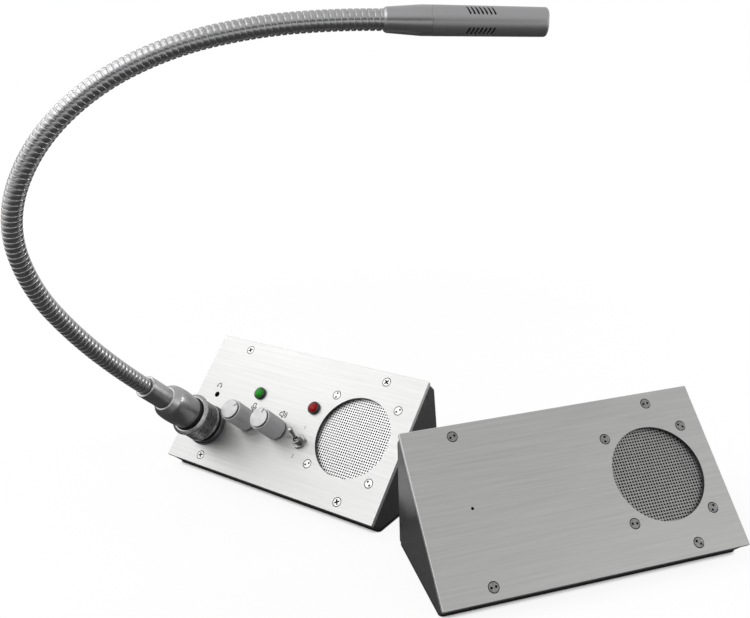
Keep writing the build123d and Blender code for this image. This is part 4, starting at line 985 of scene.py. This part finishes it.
collar_line = ease([
    (6.5, 1.4), (6.5, 0.0), (6.7, 0.0), (7.45, 1.5), (8.9, 22.0), (8.9, 27.9), (8.5, 28.1)], 0.18)
lines = np.concatenate([np.linspace(30, 46, 5), np.linspace(46.5, 66.5, 134), np.linspace(68, 92.6, 6)])
barrel_line = np.vstack([
    ease([(8.5, 28.0), (8.88, SEAM_AT), (8.88, 29.0)], 0.15),
    np.column_stack([barrel_radius(lines), lines]),
    ease([(TIP_R, 92.6), (TIP_R, TIP_AT), (4.05, TIP_AT)], 4.4, steps=10)[1:],
    [(0.0, TIP_AT)]])
mic_piece("microphone_collar", collar_line, mic_material("satin_nickel_collar", 0.30, 0.8), ["mic_collar"])
mic_piece("microphone_barrel", barrel_line, mic_material("satin_nickel_barrel", 0.42, 0.8),
          ["mic_barrel", "mic_end_cap"])
capsule_line = ease([(0.0, 79.0), (6.9, 79.0), (6.9, 93.0), (0.0, 93.0)], 0.3)
capsule = make_piece("microphone_capsule", on_mic(lathe_points(capsule_line, 64)),
                     grid_faces(len(capsule_line), 64), [ferrite])
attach(capsule, "neck_9")
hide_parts("mic_capsule")

# %% [markdown]
# The plates' own lettering stays off the model. Plain signs take its place: a microphone and a
# loudspeaker over the two level knobs, a headset over its socket, and 1, OFF and 2 beside the
# toggle. Each stroke is a thin strip of ink lying on the steel, which stays sharp however near the
# eye comes, and needs no picture.

# %% Screened signs
INK_H = 0.03


def strokes(name, lines, width, x, y, station=teller):
    """Each line of points becomes a strip: a point's two edges lie half a width to its left and
    right, square to the line's direction there."""
    points, faces, count = [], [], 0
    for line in lines:
        p = np.asarray(line, float)
        ahead = np.gradient(p, axis=0)
        ahead /= np.linalg.norm(ahead, axis=1, keepdims=True)
        left = np.column_stack([-ahead[:, 1], ahead[:, 0]]) * width / 2
        strip = np.stack([p + left, p - left], axis=1).reshape(-1, 2)
        n = np.arange(len(p) - 1)[:, None] * 2 + count
        faces.append(n + np.array([0, 1, 3, 2]))
        points.append(np.column_stack([strip, np.full(len(strip), INK_H)]))
        count += len(strip)
    piece = make_piece(name, station.place(np.vstack(points), x, y), np.vstack(faces), [ink], smooth=0)
    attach(piece, station.body)
    return piece


def bow(cx, cy, r, start, end, steps=16):
    """Points of a round arc between two angles in degrees."""
    a = np.radians(np.linspace(start, end, steps))
    return np.column_stack([cx + r * np.cos(a), cy + r * np.sin(a)])


def text_lines(text, size):
    """Blender's own font, flattened to a mesh, as points and triangles in mm."""
    curve = bpy.data.curves.new("letters", "FONT")
    curve.body, curve.size, curve.align_x, curve.align_y = text, size, "CENTER", "CENTER"
    holder = bpy.data.objects.new("letters", curve)
    mesh = bpy.data.meshes.new_from_object(holder)
    flat = read_rows(mesh.vertices, "co")
    faces = [list(polygon.vertices) for polygon in mesh.polygons]
    bpy.data.objects.remove(holder)
    return flat, faces


def letters(name, text, size, x, y):
    """The text's triangles lie flat on the teller's plate, their middle at (x, y)."""
    flat, faces = text_lines(text, size)
    flat[:, 2] = INK_H
    mesh = bpy.data.meshes.new(name)
    mesh.from_pydata(teller.place(flat, x, y).tolist(), [], faces)
    mesh.materials.append(ink)
    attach(put(name, mesh), "stations")


# %% Signs on the teller's plate
SIGN_SCALE, SIGN_Y = 1.25, 2.6
HEADSET_AT = (-84.8, 11.6)
mic_sign = [
    bow(0, 1.1, 1.0, 0, 180), [(1.0, 1.1), (1.0, -0.3)], [(-1.0, 1.1), (-1.0, -0.3)],
    bow(0, -0.3, 1.0, 180, 360), bow(0, -0.3, 2.0, 180, 360), [(0, -2.3), (0, -3.3)],
    [(-1.3, -3.3), (1.3, -3.3)]]
horn = [(-2.6, -1.0), (-2.6, 1.0), (-1.2, 1.0), (0.3, 2.4), (0.3, -2.4), (-1.2, -1.0)]
speaker_sign = [*zip(horn, horn[1:] + horn[:1]), bow(0.3, 0, 1.4, -50, 50), bow(0.3, 0, 2.6, -50, 50)]
headset_sign = [
    bow(0, 0, 1.9, 0, 180), [(-1.9, 0.0), (-1.9, -1.6)], [(1.9, 0.0), (1.9, -1.6)]]
for name, sign, x in (("microphone", mic_sign, TALK_AT[0]), ("speaker", speaker_sign, LISTEN_AT[0])):
    strokes(f"sign_{name}", [SIGN_SCALE * np.array(line) for line in sign], 0.75, x, SIGN_Y)
strokes("sign_headset", headset_sign, 0.7, *HEADSET_AT)
strokes("sign_headset_pads", [[(-1.9, -0.4), (-1.9, -1.9)], [(1.9, -0.4), (1.9, -1.9)]], 1.1, *HEADSET_AT)
letters("sign_one", "1", 4.0, 16.6, -2.6)
letters("sign_off", "OFF", 3.4, 7.2, -13.4)
letters("sign_two", "2", 4.0, 16.6, -26.4)

# %% [markdown]
# A plain pale floor and soft light. Two settings are kept apart here. How bright the floor and the
# world look to the camera, and in what mirrors them, comes from Light Path, so the background is
# white without more light on the object. How much they light the object is their plain colour and
# strength. Near the object the floor shows dark in metal, which gives round metal its dark underside,
# and further out it turns white there too. Its glow fades within 6 mm of the object, so that the gap
# under a housing stays dark. In the world, one low patch at the right is dark for mirrors: it puts the
# sharp edge between light and dark along the microphone and the hose.

# %% Floor
FLOOR_HALF, FLOOR_Z = 4, -1e-4  # metres; a little below the object's feet
FLOOR_GLOW, FLOOR_GLOW_IN_METAL = 0.90, 0.02
FADE_FROM, FADE_TO = 0.45, 1.3  # metres from the floor's middle
CREVICE = 0.006  # metres


def mirror_rays(tree):
    """Light Path, and a socket that is 1 for what is seen in metal or through glass, and else 0."""
    path = add(tree, "ShaderNodeLightPath")
    either = add(tree, "ShaderNodeMath", {
        0: path.outputs["Is Glossy Ray"], 1: path.outputs["Is Transmission Ray"]}, operation="MAXIMUM")
    return path, either.outputs[0]


floor_mesh = bpy.data.meshes.new("floor")
floor_mesh.from_pydata([
    (x * FLOOR_HALF, y * FLOOR_HALF, FLOOR_Z) for x, y in ((-1, -1), (1, -1), (1, 1), (-1, 1))],
    [], [(0, 1, 2, 3)])
floor = put("floor", floor_mesh)
floor_paint, tree, shader = new_material("pale_floor", Roughness=0.9, Specular_IOR_Level=0.1)
spot = add(tree, "ShaderNodeTexCoord")
fleck = add(tree, "ShaderNodeTexNoise", {"Vector": spot.outputs["Object"], "Scale": 300.0})
pale = add(tree, "ShaderNodeMix", {
    "Factor": fleck.outputs["Fac"], 6: linear("#646464"), 7: linear("#686868")}, data_type="RGBA")
reach = add(tree, "ShaderNodeVectorMath", {0: spot.outputs["Object"]}, operation="LENGTH")
far = add(tree, "ShaderNodeMapRange", {
    "Value": reach.outputs["Value"], "From Min": FADE_FROM, "From Max": FADE_TO},
    interpolation_type="SMOOTHSTEP")
in_view = add(tree, "ShaderNodeMapRange", {"Value": far.outputs[0], "To Min": FLOOR_GLOW, "To Max": 1.0})
in_metal = add(tree, "ShaderNodeMapRange", {
    "Value": far.outputs[0], "To Min": FLOOR_GLOW_IN_METAL, "To Max": 1.0})
ray, mirrored = mirror_rays(tree)
to_metal = add(tree, "ShaderNodeMath", {0: mirrored, 1: in_metal.outputs[0]}, operation="MULTIPLY")
to_view = add(tree, "ShaderNodeMath", {
    0: ray.outputs["Is Camera Ray"], 1: in_view.outputs[0]}, operation="MULTIPLY")
glow = add(tree, "ShaderNodeMath", {0: to_metal.outputs[0], 1: to_view.outputs[0]})
# Painted contact shadow: the floor's glow is cut where the object stands within 6 mm of it.
crevice = add(tree, "ShaderNodeAmbientOcclusion", {"Distance": CREVICE}, samples=8)
open_floor = add(tree, "ShaderNodeMapRange", {
    "Value": crevice.outputs["AO"], "From Min": 0.05, "From Max": 0.5}, interpolation_type="SMOOTHSTEP")
shaded = add(tree, "ShaderNodeMath", {0: glow.outputs[0], 1: open_floor.outputs[0]}, operation="MULTIPLY")
tree.links.new(pale.outputs[2], shader.inputs["Base Color"])
tree.links.new(shaded.outputs[0], shader.inputs["Emission Strength"])
shader.inputs["Emission Color"].default_value = (1, 1, 1, 1)
floor.data.materials.append(floor_paint)
print("floor", 2 * FLOOR_HALF, "m wide, white in metal from", FADE_TO, "m")

# %% World
ROOM_LIGHT, DARK_IN_METAL = 0.25, 0.06
DARK_SIDE = (0.903, -0.429, 0.0)
world = bpy.data.worlds.new("studio")
bpy.context.scene.world = world
world.use_nodes = True
tree = world.node_tree
tree.nodes.clear()
spot = add(tree, "ShaderNodeTexCoord")
height = add(tree, "ShaderNodeSeparateXYZ", {"Vector": spot.outputs["Generated"]})
low = add(tree, "ShaderNodeMapRange", {
    "Value": height.outputs["Z"], "From Min": 0.45, "From Max": 0.10}, interpolation_type="SMOOTHSTEP")
facing = add(tree, "ShaderNodeVectorMath", {
    0: spot.outputs["Generated"], 1: DARK_SIDE}, operation="DOT_PRODUCT")
near = add(tree, "ShaderNodeMapRange", {
    "Value": facing.outputs["Value"], "From Min": 0.10, "From Max": 0.40}, interpolation_type="SMOOTHSTEP")
dark = add(tree, "ShaderNodeMath", {0: low.outputs[0], 1: near.outputs[0]}, operation="MULTIPLY")
room = add(tree, "ShaderNodeMapRange", {"Value": dark.outputs[0], "To Min": 1.0, "To Max": DARK_IN_METAL})
ray, mirrored = mirror_rays(tree)
in_metal = add(tree, "ShaderNodeMix", {0: mirrored, 2: ROOM_LIGHT, 3: room.outputs[0]})
strength = add(tree, "ShaderNodeMix", {0: ray.outputs["Is Camera Ray"], 2: in_metal.outputs[0], 3: 1.0})
sky = add(tree, "ShaderNodeBackground", {"Color": (1, 1, 1, 1), "Strength": strength.outputs[0]})
add(tree, "ShaderNodeOutputWorld", {"Surface": sky.outputs[0]})
print("world", world.name, "nodes", len(tree.nodes))

# %% [markdown]
# The lamps are square softboxes aimed at the object. The big one high on the left is what the
# teller's plate mirrors, a front one draws the hose's bright line, a small one adds a glint to domes
# and edges, and those at the left, right and back lift the housings' sides and rims. Small lamps
# would leave hard spots in metal, and broad ones give the slow gradients by which it is known.

# %% Lamps


def softbox(name, towards, distance, size, glow, aim=(0.0, 0.0, 0.1)):
    """A square area lamp in a direction from the object, facing it. Its power is pi times its area
    times how bright it looks, so a glow of 1 is as bright as the white world."""
    data = bpy.data.lights.new(name, "AREA")
    data.shape, data.size, data.energy = "SQUARE", size, math.pi * size ** 2 * glow
    lamp = put(name, data)
    back = np.array(towards) / np.linalg.norm(towards)
    side = np.cross([0, 0, 1.0], back)
    side = side / np.linalg.norm(side)
    stand(lamp, np.column_stack([side, np.cross(back, side), back]), back * distance + aim)
    print(name, "W", round(data.energy, 2))


softbox("key_softbox", (-0.53, -0.35, 0.76), 1.5, 1.3, 1.15)
softbox("glint_softbox", (-0.72, -0.15, 0.68), 1.3, 0.2, 6.0)
softbox("front_softbox", (-0.05, -0.68, 0.73), 1.4, 0.75, 2.0)
softbox("left_softbox", (-0.715, -0.647, 0.264), 1.3, 0.5, 1.3)
softbox("right_softbox", (0.95, -0.15, 0.28), 1.4, 0.6, 1.6)
softbox("rim_softbox", (0.72, 0.67, 0.20), 1.4, 0.45, 9.0)
